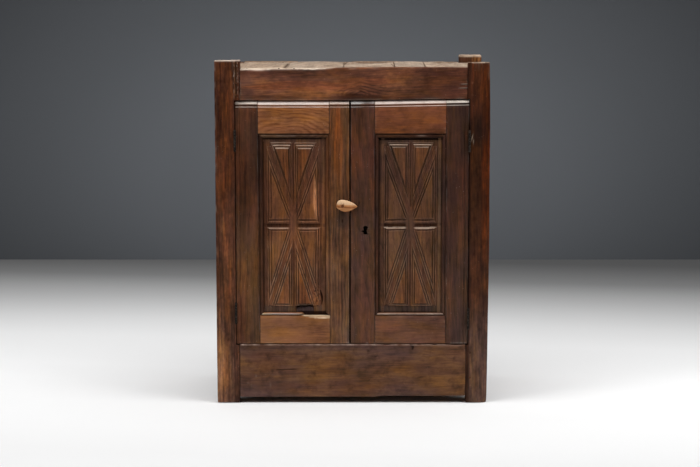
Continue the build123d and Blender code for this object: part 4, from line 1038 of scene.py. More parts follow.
def warp_top(V):
    """The right-hand door's top edge runs up to the right and its nosing thins."""
    f = np.clip(V[:, 0] / 403.0, 0, 1)
    k = DOOR_TOP - V[:, 2]
    kk = np.interp(k, [0, 9, 21.5, 27, 70], [-5.5, 1.5, 14.5, 20.5, 70])
    out = V.copy()
    out[:, 2] = np.where(k < 70, V[:, 2] + f * (k - kk), V[:, 2])
    return out


def lean(V):
    """The shoulders of the doors' joints are not quite plumb."""
    x, f = V[:, 0], np.clip((DOOR_TOP - V[:, 2]) / 846, 0, 1)

    def w(x0, a, b):
        return np.clip(np.where(x < x0, 1 - (x0 - x) / a, 1 - (x - x0) / b), 0, 1)
    out = V.copy()
    out[:, 0] += np.where(x < -6, 4.2 * f * w(LX[1], 60, 16.4) + 2.8 * f * w(LX[2], 12, 50),
                          (0.7 + 2.6 * f) * w(RX[1], 60, 14.7) + (2.6 + 2.4 * f) * w(RX[2], 9.5, 60))
    return out


def stile(name, node, xa, xb, xs, inner, mat, seed, paint, hinge_side=0, nose_amount=1.15, holes=()):
    """A door stile: nosed at its top, with the sticking run planted on its inner edge."""
    w = xb - xa
    n = max(8, int(w / 2.6))
    fr = list(np.linspace(0.04, 0.96, n))
    front = [(f, 0.0) for f in fr]
    if hinge_side:
        # quirk and bead along the hinged edge
        q = 14.5 / w if hinge_side < 0 else 1 - 14.5 / w
        front = [(f, 0.0) for f in fr if abs(f - q) > 2.2 / w]
        front += [(q - 1.5 / w, 0.2), (q - 0.7 / w, 1.5), (q, 1.9), (q + 0.7 / w, 1.5), (q + 1.5 / w, 0.2)]
        front.sort()

    def section(z):
        d = nose_depth(z)
        y0 = DY + d
        c = [(xa, y0), (xb, y0), (xb, DY + DT), (xa, DY + DT)]
        keepq = [(f, off if d < 0.3 else 0.0) for f, off in front]
        return ring(c, [1.3, 1.3, 1.3, 1.3], [n, 5, 8, 5], extras={0: keepq})

    z = list(spread(DZ[0], DZ[1], 5.0, er=0.6)) + [DOOR_TOP - k for k in NZ[1:]]
    z = np.unique(np.round(z, 3))
    z = np.concatenate([[z[0]], z[1:][np.diff(z) > 0.2]])
    V, faces, nrm, E, wear_and_highlight = raw_sweep("z", z, section, 0.6, seed, edge_wear=0.7)
    tint, wear_and_highlight = paint(V, nrm, E, wear_and_highlight * 0.45)
    side = np.minimum(V[:, 0] - xa, xb - V[:, 0])
    tint = tint * (1 - 0.6 * np.exp(-(side / 1.5) ** 2))[:, None]
    if holes:
        nose_amount = nose_amount * (1.1 - 0.75 * np.exp(-((V[:, 0] - 52 + 5 * fbm(V, (8, 8, 4), 299, 2)) / 19) ** 2))
    wear_and_highlight = nose_wear_and_highlight(V, wear_and_highlight, nose_amount, seed + 5, 13.0 if hinge_side > 0 else 10.6, 0.42) \
        * (1 - (0.4 if hinge_side > 0 else 0.8) * np.exp(-(side / 1.6) ** 2))
    if xa > -5:
        V = warp_top(V)
    if holes:
        V, faces, (tint, wear_and_highlight) = cut_out(V, faces, [tint, wear_and_highlight], (holes, -3.0, DT + DY + 3.0))
        # painted shade: the walls inside the cut-out hole darkened
        inside = (V[:, 1] - YF > DY + 1.6) & (V[:, 1] - YF < DY + DT - 1.5) & (side_of(V, holes) < 0.6)
        tint = np.where(inside[:, None], 0.25, tint)
        near = np.exp(-(np.clip(side_of(V, holes), 0, 99) / 5.0) ** 2)
        tint = blendc(tint, 0.6 * near * (V[:, 1] - YF < DY + 1), (0.95, 1.15, 1.2))
    edge = xb if inner > 0 else xa
    SV, sf, sw, S = stick_run(name, False, edge, xs, FLAT[0], FLAT[1], SIGHT[0], SIGHT[1], seed + 9)
    stint, sw = paint(SV, None, np.zeros(len(SV)), sw * 0.08)
    # painted shade: the sticking on a panel's left side darkened much more than on its right side, and a painted dark
    # line in the quirk
    if inner > 0:
        stint = stint * (0.62 - 0.2 * np.exp(-((S - 0.24) / 0.09) ** 2) - 0.12 * smooth(0.8, 1.0, S))[:, None]
    else:
        stint = stint * (0.95 - 0.15 * np.exp(-((S - 0.24) / 0.09) ** 2))[:, None]
    return join_parts(name, node, [(lean(V), faces, tint, wear_and_highlight), (lean(SV), sf, stint, sw)], mat)


def rail(name, node, xa, xb, sa, sb, top, mat, seed, paint, nose_amount=1.25, damage=None, stick_wear=None):
    z0, z1 = (FLAT[1], DZ[1]) if top else (DZ[0], FLAT[0])
    if top:
        nose = [(DY + d, DOOR_TOP - k) for k, d in NOSE][::-1]
        face = [(DY, zz) for zz in np.linspace(z0 + 1.0, DOOR_TOP - 28.5, 36)]
        poly = [(DY + 0.6, z0)] + face + nose + [(DY + DT - 1, z1), (DY + DT, z1 - 1)]
        poly += [(DY + DT, zz) for zz in np.linspace(z1 - 14, z0 + 14, 8)] + [(DY + DT, z0 + 1), (DY + DT - 1, z0)]
        poly += [(y, z0) for y in np.linspace(DY + DT - 6, DY + 6, 4)]
        P = np.array(poly)
        e = np.zeros(len(P))
        sec = lambda x: (P, e)
    else:
        n = 26
        P, e = ring([(DY, z0), (DY, z1), (DY + DT, z1), (DY + DT, z0)], [1.6, 0.8, 1.0, 1.6], [n, 5, 10, 5])
        sec = lambda x: (P, e)
    V, faces, nrm, E, wear_and_highlight = raw_sweep("x", spread(xa, xb, 2.8, er=0.6), sec, 0.6, seed, edge_wear=0.6)
    if damage is not None and not top:
        V[:, 1] += 0.25 * damage(V) * (V[:, 1] - YF < DY + 12)
    tint, wear_and_highlight = paint(V, nrm, E, wear_and_highlight * 0.4)
    side = np.minimum(V[:, 0] - xa, xb - V[:, 0])
    soft_end = 0.75 if xa < 0 else 0.35 + 0.4 * (V[:, 0] < 200)
    tint = tint * (1 - 0.8 * soft_end * np.exp(-(side / 1.6) ** 2))[:, None]
    if top:
        wear_and_highlight = nose_wear_and_highlight(V, wear_and_highlight, nose_amount, seed + 5) * (1 - soft_end * np.exp(-(side / 1.6) ** 2))
        if xa > -5:
            V = warp_top(V)
    edge, sight = (FLAT[1], SIGHT[1]) if top else (FLAT[0], SIGHT[0])
    SV, sf, sw, S = stick_run(name, True, edge, sight, xa, xb, sa, sb, seed + 9, damage)
    stint, sw = paint(SV, None, np.zeros(len(SV)), sw)
    # painted shade: a dark line in the quirk, and on a top rail the lower part of the sticking and then all of it
    # darkened, as shade under the moulding
    stint = stint * (1 - 0.5 * np.exp(-((S - 0.24) / 0.09) ** 2) - (0.45 * smooth(0.6, 0.85, S) if top else 0))[:, None]
    if top:
        stint = stint * np.array((0.34, 0.42, 0.56))
    else:
        # painted highlight: a pale band along the bottom sticking where it faces up
        lit = np.clip(0.85 + 0.5 * fbm(SV, (18, 20, 20), seed + 31, 3), 0, 1.2)
        painted_highlight = np.exp(-((S - 0.62) / 0.17) ** 2)
        sw = np.maximum(sw * 0.3, painted_highlight * (0.12 if damage is not None else 0.7) * lit)
        if damage is not None:
            stint = blendc(stint, 0.95 * painted_highlight * lit, (1.5, 3.3, 7.0))
        # painted shade: a black line in the quirk and a near-black strip along the rail's face just under the sticking;
        # then a painted highlight line on the rail's front arris
        stint = blendc(stint, 0.96 * np.exp(-((S - 0.28) / 0.2) ** 4), (0.07, 0.05, 0.05))
        front = V[:, 1] - YF < DY + 2
        tint = blendc(tint, 0.9 * smooth(308.1, 308.9, V[:, 2]), (0.12, 0.09, 0.08))
        tint = blendc(tint, 0.6 * np.exp(-((V[:, 2] - 306.0) / 1.5) ** 2) * front * (side > 6), (1.9, 1.8, 1.7))
    if damage is not None:
        # the moulding has split off: its stump, fresh and pale, and the gap behind it, darkened as painted shade
        dm = np.clip(damage(SV) / 7.5, 0, 1)
        hid = smooth(0.30, 0.42, S)
        SV = SV.copy()
        SV[:, 1] += dm * hid * 6.0
        SV[:, 2] -= dm * (S > 0.02) * S * 6.0
        stint = blendc(stint, dm * hid, (0.03, 0.02, 0.02))
        sw = sw * (1 - dm)
        sw = np.maximum(sw, dm * (1 - hid) * (0.9 + 0.3 * fbm(SV, (9, 9, 3), seed + 41, 2)))
    if stick_wear is not None:
        wear_and_highlight = np.maximum(wear_and_highlight, stick_wear(V))
        tint = blendc(tint, stick_wear(V) * (V[:, 2] > 305), (1.0, 1.0, 1.0))
    return join_parts(name, node, [(lean(V), faces, tint, wear_and_highlight), (lean(SV), sf, stint, sw)], mat)


def cut_out(V, faces, attrs, prism):
    """Cut a prism (outline in x, z; from depth y0 to y1) out of a shell. attrs follow from the nearest old point."""
    body = new_mesh("cut_body", V, faces, shade=False)
    pts, y0, y1 = prism
    pts = np.array(pts, float)
    m = len(pts)
    CV = np.concatenate([np.stack([pts[:, 0], np.full(m, YF + y), pts[:, 1]], 1) for y in (y0, y1)])
    j = np.arange(m)
    cf = [np.stack([j, (j + 1) % m, (j + 1) % m + m, j + m], -1), np.arange(m)[None, ::-1], (np.arange(m) + m)[None, :]]
    if volume(CV, cf) < 0:
        cf = [f[:, ::-1] for f in cf]
    tool = new_mesh("cut_tool", CV, cf, shade=False)
    md = body.modifiers.new("cut", "BOOLEAN")
    md.operation = "DIFFERENCE"
    md.solver = "EXACT"
    md.object = tool
    dg = bpy.context.evaluated_depsgraph_get()
    me = bpy.data.meshes.new_from_object(body.evaluated_get(dg))
    n = len(me.vertices)
    co = np.zeros(n * 3, np.float32)
    me.vertices.foreach_get("co", co)
    W = co.reshape(-1, 3).astype(float) * 1000
    by = {}
    for pl in me.polygons:
        by.setdefault(len(pl.vertices), []).append(list(pl.vertices))
    for ob in (body, tool):
        bpy.data.objects.remove(ob, do_unlink=True)
    kd = KDTree(len(V))
    for i, v in enumerate(V):
        kd.insert(v, i)
    kd.balance()
    idx = np.array([kd.find(w)[1] for w in W])
    return W, [np.array(v) for v in by.values()], [a[idx] for a in attrs]


def side_of(V, pts):
    """Distance in the face from an outline's points."""
    P = np.array(list(pts), float)
    Q = np.concatenate([P + (np.roll(P, -1, 0) - P) * f for f in (0, 0.25, 0.5, 0.75)])
    return np.min(np.hypot(V[:, None, 0] - Q[None, :, 0], V[:, None, 2] - Q[None, :, 1]), axis=1)


def plain_paint(base=(1, 1, 1), patches=(), fade=None, seed=0):
    def paint(V, nrm, E, wear_and_highlight):
        tint = np.tile(np.asarray(base, float), (len(V), 1))
        for c, r, a, col in patches:
            tint = blendc(tint, tone(V, c, r, a, seed=seed + int(abs(c[0]) + c[1]) % 97), np.asarray(col) * np.asarray(base))
        if fade is not None:
            tint = tint * fade(V)
        return tint, wear_and_highlight
    return paint


def rise(top, low, za=820, zb=420):
    """Tone that goes from one colour above to another below: painted light, darker above and lighter below, with a
    shift of hue.
    """
    top, low = np.array(top), np.array(low)
    return lambda V: top[None, :] + (low - top)[None, :] * smooth(za, zb, V[:, 2])[:, None]


def cathedral(V):
    """Arched figure of a flat-sawn board."""
    x, z = V[:, 0], V[:, 2]
    u = np.hypot((x + 202) / 2.3, z - 944) + 5.5 * fbm(V, (46, 40, 22), 177, 3)
    u = np.where(x < -222, u - 0.22 * (-222 - x), u)
    line = np.sin(u * 2 * math.pi / 10.5) * np.clip(0.75 + 0.9 * fbm(V, (50, 30, 20), 178, 2), 0, 1)
    up = np.clip(line, 0, 1)[:, None]
    return (1 - up * np.array([[0.26, 0.38, 0.46]])) * (1 + np.clip(-line, 0, 1)[:, None] * np.array([[0.20, 0.17, 0.12]]))
MAT_LH = wood("left_hinge_stile_wood", "z", (34, 22, 16), (76, 48, 34), (104, 68, 46), alt=(62, 50, 42), alt_amount=0.6,
              seed=31, ring=8, figure=0.2, streak=0.8, bare_and_highlight=(240, 226, 212))
MAT_LM = wood("left_meeting_stile_wood", "z", (48, 27, 16), (96, 58, 38), (140, 84, 50), alt=(84, 62, 50), alt_amount=0.5,
              seed=32, ring=8, figure=0.3, bare_and_highlight=(226, 206, 192))
MAT_LT = wood("left_top_rail_wood", "x", (70, 38, 20), (128, 78, 46), (166, 108, 66), alt=(110, 72, 44), alt_amount=0.3,
              seed=33, ring=7, figure=0.1, tilt=(0.3, 0.25), streak=0.3, bare_and_highlight=(236, 220, 210), grime=0.3, fine=0.4)
MAT_LB = wood("left_bottom_rail_wood", "x", (74, 44, 28), (122, 80, 52), (150, 102, 66), alt=(116, 80, 58), alt_amount=0.4,
              seed=34, ring=8, figure=0.1, streak=0.3, bare_and_highlight=(240, 208, 172), grime=0.25, fine=0.4, bump=0.3)
MAT_RL = wood("right_lock_stile_wood", "z", (40, 24, 18), (78, 50, 38), (104, 62, 44), alt=(70, 52, 44), alt_amount=0.5,
              seed=35, ring=8, figure=0.25, bare_and_highlight=(214, 210, 206))
MAT_RH = wood("right_hinge_stile_wood", "z", (32, 22, 18), (62, 42, 33), (84, 54, 40), alt=(56, 44, 38), alt_amount=0.5,
              seed=36, ring=8, figure=0.25, bare_and_highlight=(238, 226, 212))
MAT_RT = wood("right_top_rail_wood", "x", (56, 30, 18), (106, 62, 40), (138, 82, 52), alt=(84, 52, 38), alt_amount=0.4,
              seed=37, ring=8, figure=0.08, streak=0.3, bare_and_highlight=(236, 218, 206), grime=0.3, fine=0.35, bump=0.25, blotch=1.3)
MAT_RB = wood("right_bottom_rail_wood", "x", (52, 34, 26), (96, 64, 48), (124, 80, 58), alt=(92, 66, 56), alt_amount=0.4,
              seed=38, ring=8, figure=0.12, streak=0.4, bare_and_highlight=(200, 180, 165), grime=0.3, fine=0.4, bump=0.3)
MAT_PANEL_L = wood("left_panel_wood", "z", (42, 24, 15), (90, 56, 38), (124, 78, 50), alt=(80, 58, 44), alt_amount=0.4,
                   seed=41, ring=9, figure=0.25, bare_and_highlight=(206, 178, 156), streak=0.6)
MAT_PANEL_R = wood("right_panel_wood", "z", (38, 24, 17), (80, 54, 40), (108, 72, 50), alt=(74, 56, 46), alt_amount=0.4,
                   seed=42, ring=9, figure=0.25, bare_and_highlight=(196, 172, 152), streak=0.7)

stile("left_hinge_stile_wood", "left_hinge_stile", LX[0], LX[1], LS[0], 1, MAT_LH, 101,
      plain_paint((0.92, 0.92, 0.95), [((-360, 985), (34, 60), 0.5, (1.2, 1.2, 1.2)), ((-352, 1030), (34, 12), 0.7, (1.4, 1.45, 1.5)), ((-372, 700), (16, 160), 0.5, (0.7, 0.6, 0.55)),
                                       ((-352, 440), (30, 140), 0.7, (1.22, 1.22, 0.86)), ((-390, 300), (10, 120), 0.6, (0.75, 0.72, 0.85)),
                                       ((-355, 225), (50, 22), 0.7, (0.7, 0.72, 0.85))], rise((0.70, 0.66, 0.67), (1.29, 1.37, 1.37)), 201), hinge_side=-1)
def slit_paint(base_paint, slits):
    """Adds small dark slits and nail holes to a paint: centre, half widths, strength."""
    def paint(V, nrm, E, wear_and_highlight):
        tint, wear_and_highlight = base_paint(V, nrm, E, wear_and_highlight)
        for xa, za, rx, rz, k in slits:
            m_ = k * np.exp(-(((V[:, 0] - xa) / rx) ** 2 + ((V[:, 2] - za) / rz) ** 2) ** 2) * (V[:, 1] - YF < DY + 2)
            tint = blendc(tint, m_, (0.16, 0.14, 0.14))
        return tint, wear_and_highlight
    return paint


stile("left_meeting_stile_wood", "left_meeting_stile", LX[2], LX[3], LS[1], -1, MAT_LM, 102,
      slit_paint(plain_paint((1.0, 1.0, 1.0), [((-46, 900), (16, 150), 0.8, (1.45, 1.1, 0.75)), ((-20, 760), (14, 120), 0.5, (0.7, 0.62, 0.6)),
                                    ((-34, 645), (26, 34), 0.8, (0.5, 0.58, 0.75)), ((-48, 560), (22, 60), 0.5, (0.65, 0.66, 0.7)), ((-40, 330), (20, 80), 0.4, (1.2, 1.05, 0.9))], rise((1.0, 0.89, 0.74), (1.0, 1.15, 1.40)), 211),
                 [(-32.5, 641, 2.6, 6.5, 0.85)]))
rail("left_top_rail_wood", "left_top_rail", LX[1], LX[2], LS[0], LS[1], True, MAT_LT, 103,
     plain_paint((1, 1, 1), [((-290, 990), (30, 50), 0.35, (0.7, 0.66, 0.66)), ((-96, 980), (24, 60), 0.4, (0.75, 0.7, 0.7))], cathedral, 221))


def broken(V):
    """The sticking has split away under the right-hand end of the left panel."""
    x, z = V[:, 0], V[:, 2]
    return 7.5 * smooth(-174, -163, x + 3 * fbm(V, (9, 9, 4), 6, 2)) * smooth(-76, -80, x) * smooth(301, 306, z + 1.5 * fbm(V, (14, 9, 9), 5, 2))


def broken_bare(V):
    x, y, z = V[:, 0], V[:, 1] - YF, V[:, 2]
    edge = 300.8 + 2.0 * fbm(V, (16, 9, 9), 8, 2) + 7.0 * smooth(-118, -168, x)
    return smooth(-172, -160, x) * smooth(-76, -79, x) * smooth(edge - 1.2, edge + 1.2, z) * (y < DY + 24) * (0.85 + 0.3 * fbm(V, (14, 6, 2.5), 9, 2))


rail("left_bottom_rail_wood", "left_bottom_rail", LX[1], LX[2], LS[0], LS[1], False, MAT_LB, 104,
     plain_paint((1, 1, 1), [((-150, 230), (70, 20), 0.3, (0.8, 0.72, 0.7))], None, 231), damage=broken, stick_wear=broken_bare)
stile("right_lock_stile_wood", "right_lock_stile", RX[0], RX[1], RS[0], 1, MAT_RL, 105,
      slit_paint(plain_paint((0.95, 0.95, 0.95), [((14, 640), (20, 90), 0.7, (0.66, 0.74, 0.84)), ((62, 640), (14, 70), 0.5, (1.0, 1.12, 1.0)),
                                       ((44, 560), (40, 40), 0.5, (1.0, 1.05, 1.2)), ((70, 800), (10, 200), 0.5, (1.3, 1.0, 0.85)),
                                       ((40, 300), (30, 70), 0.3, (1.1, 1.0, 0.95))], rise((0.92, 0.84, 0.80), (1.06, 1.16, 1.23)), 241),
                 [(25, 705, 2.6, 6.5, 0.7), (21.5, 697, 2.2, 2.6, 0.7)]), nose_amount=0.85,
      holes=[(38.7, 617.3), (39.8, 621.5), (43.1, 624.0), (47.4, 624.4), (51.8, 622.5), (54.1, 619.0), (53.8, 614.6),
             (51.5, 611.5), (50.6, 606.9), (51.1, 601.3), (53.1, 597.0), (51.5, 593.8), (46.2, 593.0), (41.0, 594.0),
             (39.1, 596.7), (40.3, 600.3), (36.7, 601.9), (33.4, 603.4), (32.3, 605.9), (34.6, 607.4), (39.5, 607.6),
             (40.5, 611.1)])
stile("right_hinge_stile_wood", "right_hinge_stile", RX[2], RX[3], RS[1], -1, MAT_RH, 106,
      plain_paint((0.9, 0.92, 0.95), [((350, 700), (14, 200), 0.4, (0.75, 0.7, 0.7)), ((391.5, 938), (5, 24), 0.8, (1.7, 1.25, 1.05)),
                                       ((372, 760), (20, 120), 0.4, (1.15, 0.95, 0.95))], rise((0.82, 0.76, 0.73), (1.18, 1.27, 1.32)), 251), hinge_side=1)
rail("right_top_rail_wood", "right_top_rail", RX[1], RX[2], RS[0], RS[1], True, MAT_RT, 107,
     plain_paint((1, 1, 1), [((180, 980), (60, 14), 0.4, (0.75, 0.68, 0.65)), ((110, 1000), (26, 40), 0.3, (0.75, 0.7, 0.7))], None, 261))
rail("right_bottom_rail_wood", "right_bottom_rail", RX[1], RX[2], RS[0], RS[1], False, MAT_RB, 108,
     plain_paint((1, 1, 1), [((290, 250), (40, 50), 0.6, (0.68, 0.66, 0.7)), ((130, 270), (50, 20), 0.4, (1.2, 1.05, 0.95))], None, 271))


# ------------------------------------------------------------------ carved panels
# section of the mouldings cut round each field, by kind: distance in from the edge, height
PROFILES = {
    "three_r": ([0, 0.6, 2.6, 3.8, 5.2, 6.4, 10.8, 12.0, 13.6, 14.8, 18.4, 21.0], [0, 0.2, 3.2, 3.0, 0.6, 0.8, 4.9, 4.2, 1.2, 1.6, 5.6, 5.4]),
    "three": ([0, 0.6, 3.6, 5.0, 7.6, 9.2, 13.2, 14.4, 17.4, 18.8, 23.0, 26.0], [0, 0.2, 3.4, 3.2, 0.6, 1.0, 4.6, 4.2, 1.2, 1.6, 5.6, 5.4]),
    "wide": ([0, 0.8, 6.2, 7.6, 9.4, 10.6, 13.6, 15.0], [0, 0.4, 5.2, 5.4, 1.6, 1.2, 4.8, 5.2]),
    "foot": ([0, 2.0, 5.6, 8.6, 11.0, 13.6, 18.0, 22.0], [0, 2.6, 4.9, 4.7, 1.4, 1.2, 5.0, 5.3]),
    "low": ([0, 1.6, 3.6, 5.6, 7.6, 11.0], [0, 2.8, 3.4, 1.0, 1.4, 5.2]),
    "side": ([0, 0.8, 3.4, 4.6, 7.4, 8.6, 11.2, 12.4, 14.4, 17.0], [0, 3.0, 3.4, 0.9, 0.7, 3.8, 4.0, 1.2, 1.0, 5.2]),
    "inner": ([0, 0.7, 3.2, 4.4, 6.6, 7.8, 10.2, 11.4, 13.2, 15.2], [0.4, 3.0, 3.3, 1.0, 0.8, 4.0, 4.2, 1.2, 1.0, 5.2]),
    "slant": ([0, 0.7, 3.6, 4.8, 7.2, 8.4, 11.2, 12.4, 14.4, 16.2], [1.4, 3.4, 3.8, 0.9, 0.7, 4.2, 4.4, 1.1, 0.9, 5.3]),
    "brief": ([0, 0.8, 3.0, 4.2, 8.2, 11.0], [1.4, 3.0, 3.4, 0.7, 0.5, 5.3]),
}


def cell_height(x, z, poly, kinds):
    """Height, depth into the cell as a share of its border, and distance to the nearest side."""
    p = np.array(poly, float)
    area = sum(a[0] * b[1] - b[0] * a[1] for a, b in zip(p, np.roll(p, -1, 0)))
    sgn = 1.0 if area > 0 else -1.0
    best = np.full(x.shape, 1e9)
    h = np.zeros_like(x)
    dist = np.full(x.shape, 1e9)
    for a, b, kind in zip(p, np.roll(p, -1, 0), kinds):
        e = (b - a) / np.linalg.norm(b - a)
        d = sgn * (e[0] * (z - a[1]) - e[1] * (x - a[0]))
        pd, ph = PROFILES[kind]
        r = d / pd[-1]
        take = r < best
        best = np.where(take, r, best)
        h = np.where(take, np.interp(d, pd, ph), h)
        dist = np.minimum(dist, d)
    return h, best, dist


CELLS = [
    ([(3, 913.2), (79.5, 913.2), (3, 690)], ("three", "brief", "inner")),
    ([(91, 899), (91, 631), (3, 631), (3, 655)], ("side", "foot", "inner", "slant")),
    ([(1, 619.4), (91, 619.4), (91, 342), (88, 342)], ("wide", "side", "low", "slant")),
    ([(3, 578), (3, 342), (78.4, 342)], ("inner", "low", "slant")),
]


def carved_panel(name, node, s0, s1, cx, mat, seed, left):
    x0, x1, z0, z1 = s0 - 6.5, s1 + 6.5, SIGHT[0] - 6.5, SIGHT[1] + 6.5
    dx = 1.3
    nx, nz = int(round((x1 - x0) / dx)), int(round((z1 - z0) / dx))
    xs, zs = np.linspace(x0, x1, nx + 1), np.linspace(z0, z1, nz + 1)
    X, Z = np.meshgrid(xs, zs, indexing="ij")
    W = np.stack([X.ravel(), np.zeros(X.size), Z.ravel()], 1)
    wob = fbm(W, (60, 60, 120), seed, 2).reshape(X.shape)
    wob2 = fbm(W, (60, 60, 120), seed + 7, 2).reshape(X.shape)
    rx = X - cx + 1.5 * wob
    rz = Z + 1.5 * wob2
    base = np.zeros_like(X)
    # the two crossing bands, a little above the margin
    for sx in (1, -1):
        up = np.abs(sx * rx - (30.6 + 44.5) / 2 - 0.353 * (rz - 770))
        lo = np.abs(sx * rx - (34.3 + 44.0) / 2 + 0.319 * (rz - 480))
        base = np.maximum(base, 2.2 * smooth(9.5, 6.5, up) * (rz > 630) * (rz < 900))
        base = np.maximum(base, 2.2 * smooth(8.5, 5.5, lo) * (rz < 619) * (rz > 346))
        base = np.minimum(base, 2.2 - 1.9 * np.exp(-(up / 1.7) ** 2) * (rz > 630))
    base = np.where((rz > 619.4) & (rz < 631), -1.6, base)
    h = base.copy()
    share = np.full(X.shape, -1.0)
    dist = np.full(X.shape, -9.0)
    for cell, kinds in CELLS:
        if not left:
            kinds = tuple("three_r" if k == "three" else k for k in kinds)
        for m in (1, -1):
            hh, r, d = cell_height(rx * m, rz, cell, kinds)
            inside = r > 0
            h = np.where(inside, hh, h)
            share = np.where(inside, np.maximum(share, r), share)
            dist = np.where(inside, d, dist)
    ax_ = np.abs(rx)
    # a plain boss at the crossing, where the bands run together
    calm = np.exp(-((np.abs(rx) / 19) ** 2 + (np.abs(rz - 627) / 44) ** 2) ** 2)
    h = h * (1 - calm) + 4.4 * calm
    cut = fbm(W, (7, 7, 34), seed + 11, 3).reshape(X.shape)
    h = h * (0.95 + 0.08 * wob) + 0.2 * cut
    chips = np.clip(fbm(W, (9, 9, 16), seed + 13, 3).reshape(X.shape) - 0.40, 0, 1)
    h = h - 3.0 * chips * (share > 0)
    tint = np.ones((X.size, 3))
    field = smooth(0.93, 1.03, share)
    soft = np.clip(0.55 + 0.9 * fbm(W, (40, 40, 40), seed + 17, 2), 0.1, 1.0).reshape(X.shape)
    # painted shade in the hollows, painted highlight on what stands proud
    lap = h - 0.25 * (np.roll(h, 2, 0) + np.roll(h, -2, 0) + np.roll(h, 2, 1) + np.roll(h, -2, 1))
    lap3 = h - 0.25 * (np.roll(h, 3, 0) + np.roll(h, -3, 0) + np.roll(h, 3, 1) + np.roll(h, -3, 1))
    hollow_shade = np.maximum(smooth(0.05, -0.85, lap), 0.85 * smooth(-0.2, -1.0, lap3))
    # painted shade in every quirk of the mouldings, from the section itself
    quirk = smooth(2.5, 1.3, h) * (share > 0) * (share < 0.98) * (1 - calm)
    hollow_shade = np.maximum(hollow_shade, quirk * (0.75 + 0.25 * soft))
    proud = smooth(0.15, 1.1, lap)
    tint = tint * (1 - (0.66 if left else 0.72) * hollow_shade * (1 - 0.5 * calm)).ravel()[:, None]
    # painted highlight along the ridges
    ridge = smooth(2.4, 3.3, h) * (share > 0) * (share < 0.75) * (1 - calm)
    low = (rz < 619) if left else 0.4 * (rz < 619)
    tint = tint * (1 + (0.25 * proud * soft + (0.30 + 0.45 * low) * ridge * (0.4 + 0.6 * soft))).ravel()[:, None]
    # painted highlight lines along the cross moulding's outer edges
    fine_line = (np.exp(-((rz - 650) / 1.7) ** 2) + np.exp(-((rz - 606.4) / 1.6) ** 2)) * (ax_ > 16) * (ax_ < 84)
    tint = tint * (1 + 0.8 * fine_line).ravel()[:, None]
    # the crossing bands carry a fine painted highlight line with a painted shade line on either side
    band_up = np.abs(ax_ - 37.55 - 0.353 * (rz - 770))
    band_lo = np.abs(ax_ - 39.15 + 0.319 * (rz - 480))
    band = np.where(rz > 627, band_up, band_lo)
    on = (share <= 0.02) * smooth(12, 9, band) * (1 - calm) * (rz < 900) * (rz > 352)
    tint = tint * (1 - on.ravel()[:, None] * np.array([[0.06, 0.09, 0.13]]))
    run = np.clip(0.7 + 0.9 * fbm(W, (16, 16, 40), seed + 31, 2), 0.1, 1.2).reshape(X.shape)
    glint = (np.where(rx < 0, 0.75, 0.45) if left else 0.4) * (rz < 600) + 0.12 * (rz > 640)
    tint = tint * (1 + (on * run * (glint * np.exp(-((band - 0.4) / 1.5) ** 2) - 0.30 * np.exp(-((band - 4.0) / 1.5) ** 2))).ravel()[:, None])
    # painted highlight: the up-facing slopes of the mouldings are paled, most along the top borders and the cross
    # moulding
    gz = np.gradient(h, zs, axis=1)
    facing = smooth(0.1, 0.7, -gz)
    wear_and_highlight = np.clip((0.03 * proud + 0.22 * proud * facing) * soft * (0.9 + 0.5 * cut), 0, 0.8)
    ax = np.abs(rx)
    lit_slope = facing * (share > 0) * (share < 0.98) * (ax > 7)
    if left:
        lines = (rz > 884) * (0.8 - 0.35 * (rz > 908))
    else:
        lines = (rz > 884) * (0.55 + 0.4 * (rz < 906) * (rz > 899) - 0.35 * (rz > 907))
    cross = (0.46 - 0.14 * (rx > 0)) * (rz < 618) if left else 0.72 + 0.12 * (rx > 0)
    slope_highlight = lit_slope * (lines + cross * (rz < 621) * (rz > 609) + 0.3 * (rz < 600))
    slope_highlight = slope_highlight * np.clip(0.85 + 0.5 * fbm(W, (22, 20, 8), seed + 23, 2), 0, 1).reshape(X.shape)
    if left:
        slope_highlight = slope_highlight * (1.0 - 0.25 * (rx > 0) * (rz > 800))
    wear_and_highlight = np.maximum(wear_and_highlight, slope_highlight * 0.8)
    # painted highlight along the proud ridges of the lower fields
    thin = proud * (rz < 572) * (0.4 + 0.9 * soft) * (ax > 8)
    wear_and_highlight = np.maximum(wear_and_highlight, thin * (np.where(rx < 0, 0.20, 0.09) if left else 0.06) * np.clip(0.6 + 1.2 * fbm(W, (14, 14, 26), seed + 29, 2), 0, 1.3).reshape(X.shape))
    border = (share > 0) * (1 - field)
    tint = blendc(tint, 0.45 * border.ravel(), (0.93, 0.89, 0.85))
    fx, fz = np.abs(X.ravel() - cx), Z.ravel()
    fld = field.ravel()
    tint = blendc(tint, 0.8 * fld * (fz > 700) * (fx < 62) * smooth(60, 50, fx) * (fx / 60 < (fz - 700) / 130), (1.32, 0.88, 0.54) if left else (1.34, 1.0, 0.66))
    tint = blendc(tint, 0.6 * fld * (fz > 640) * (fx > 16), (1.22, 1.1, 0.9))
    tint = blendc(tint, 0.7 * fld * (fz < 610) * (fz > 420), (1.2, 1.12, 0.92))
    if left:
        tint = tint * (1 - 0.20 * fld * (X.ravel() > cx) * (fz < 610) - 0.18 * fld * (X.ravel() > cx) * (fz > 700) * (fx < 62))[:, None]
    tint = blendc(tint, 0.7 * fld * (fz < 500) * (fx < 62), (1.35, 1.08, 0.8))
    margin = smooth(0.5, -0.5, share).ravel()
    tint = blendc(tint, 0.75 * margin, (0.88, 0.78, 0.80))
    tint = blendc(tint, 0.8 * margin * smooth(895, 925, Z.ravel()), (0.85, 1.0, 1.25))
    tint = blendc(tint, 0.8 * margin * smooth(88, 97, np.abs(rx).ravel()), (0.62, 0.60, 0.66))
    tint = blendc(tint, 0.9 * margin * smooth(352, 336, Z.ravel()), (0.50, 0.66, 0.95))
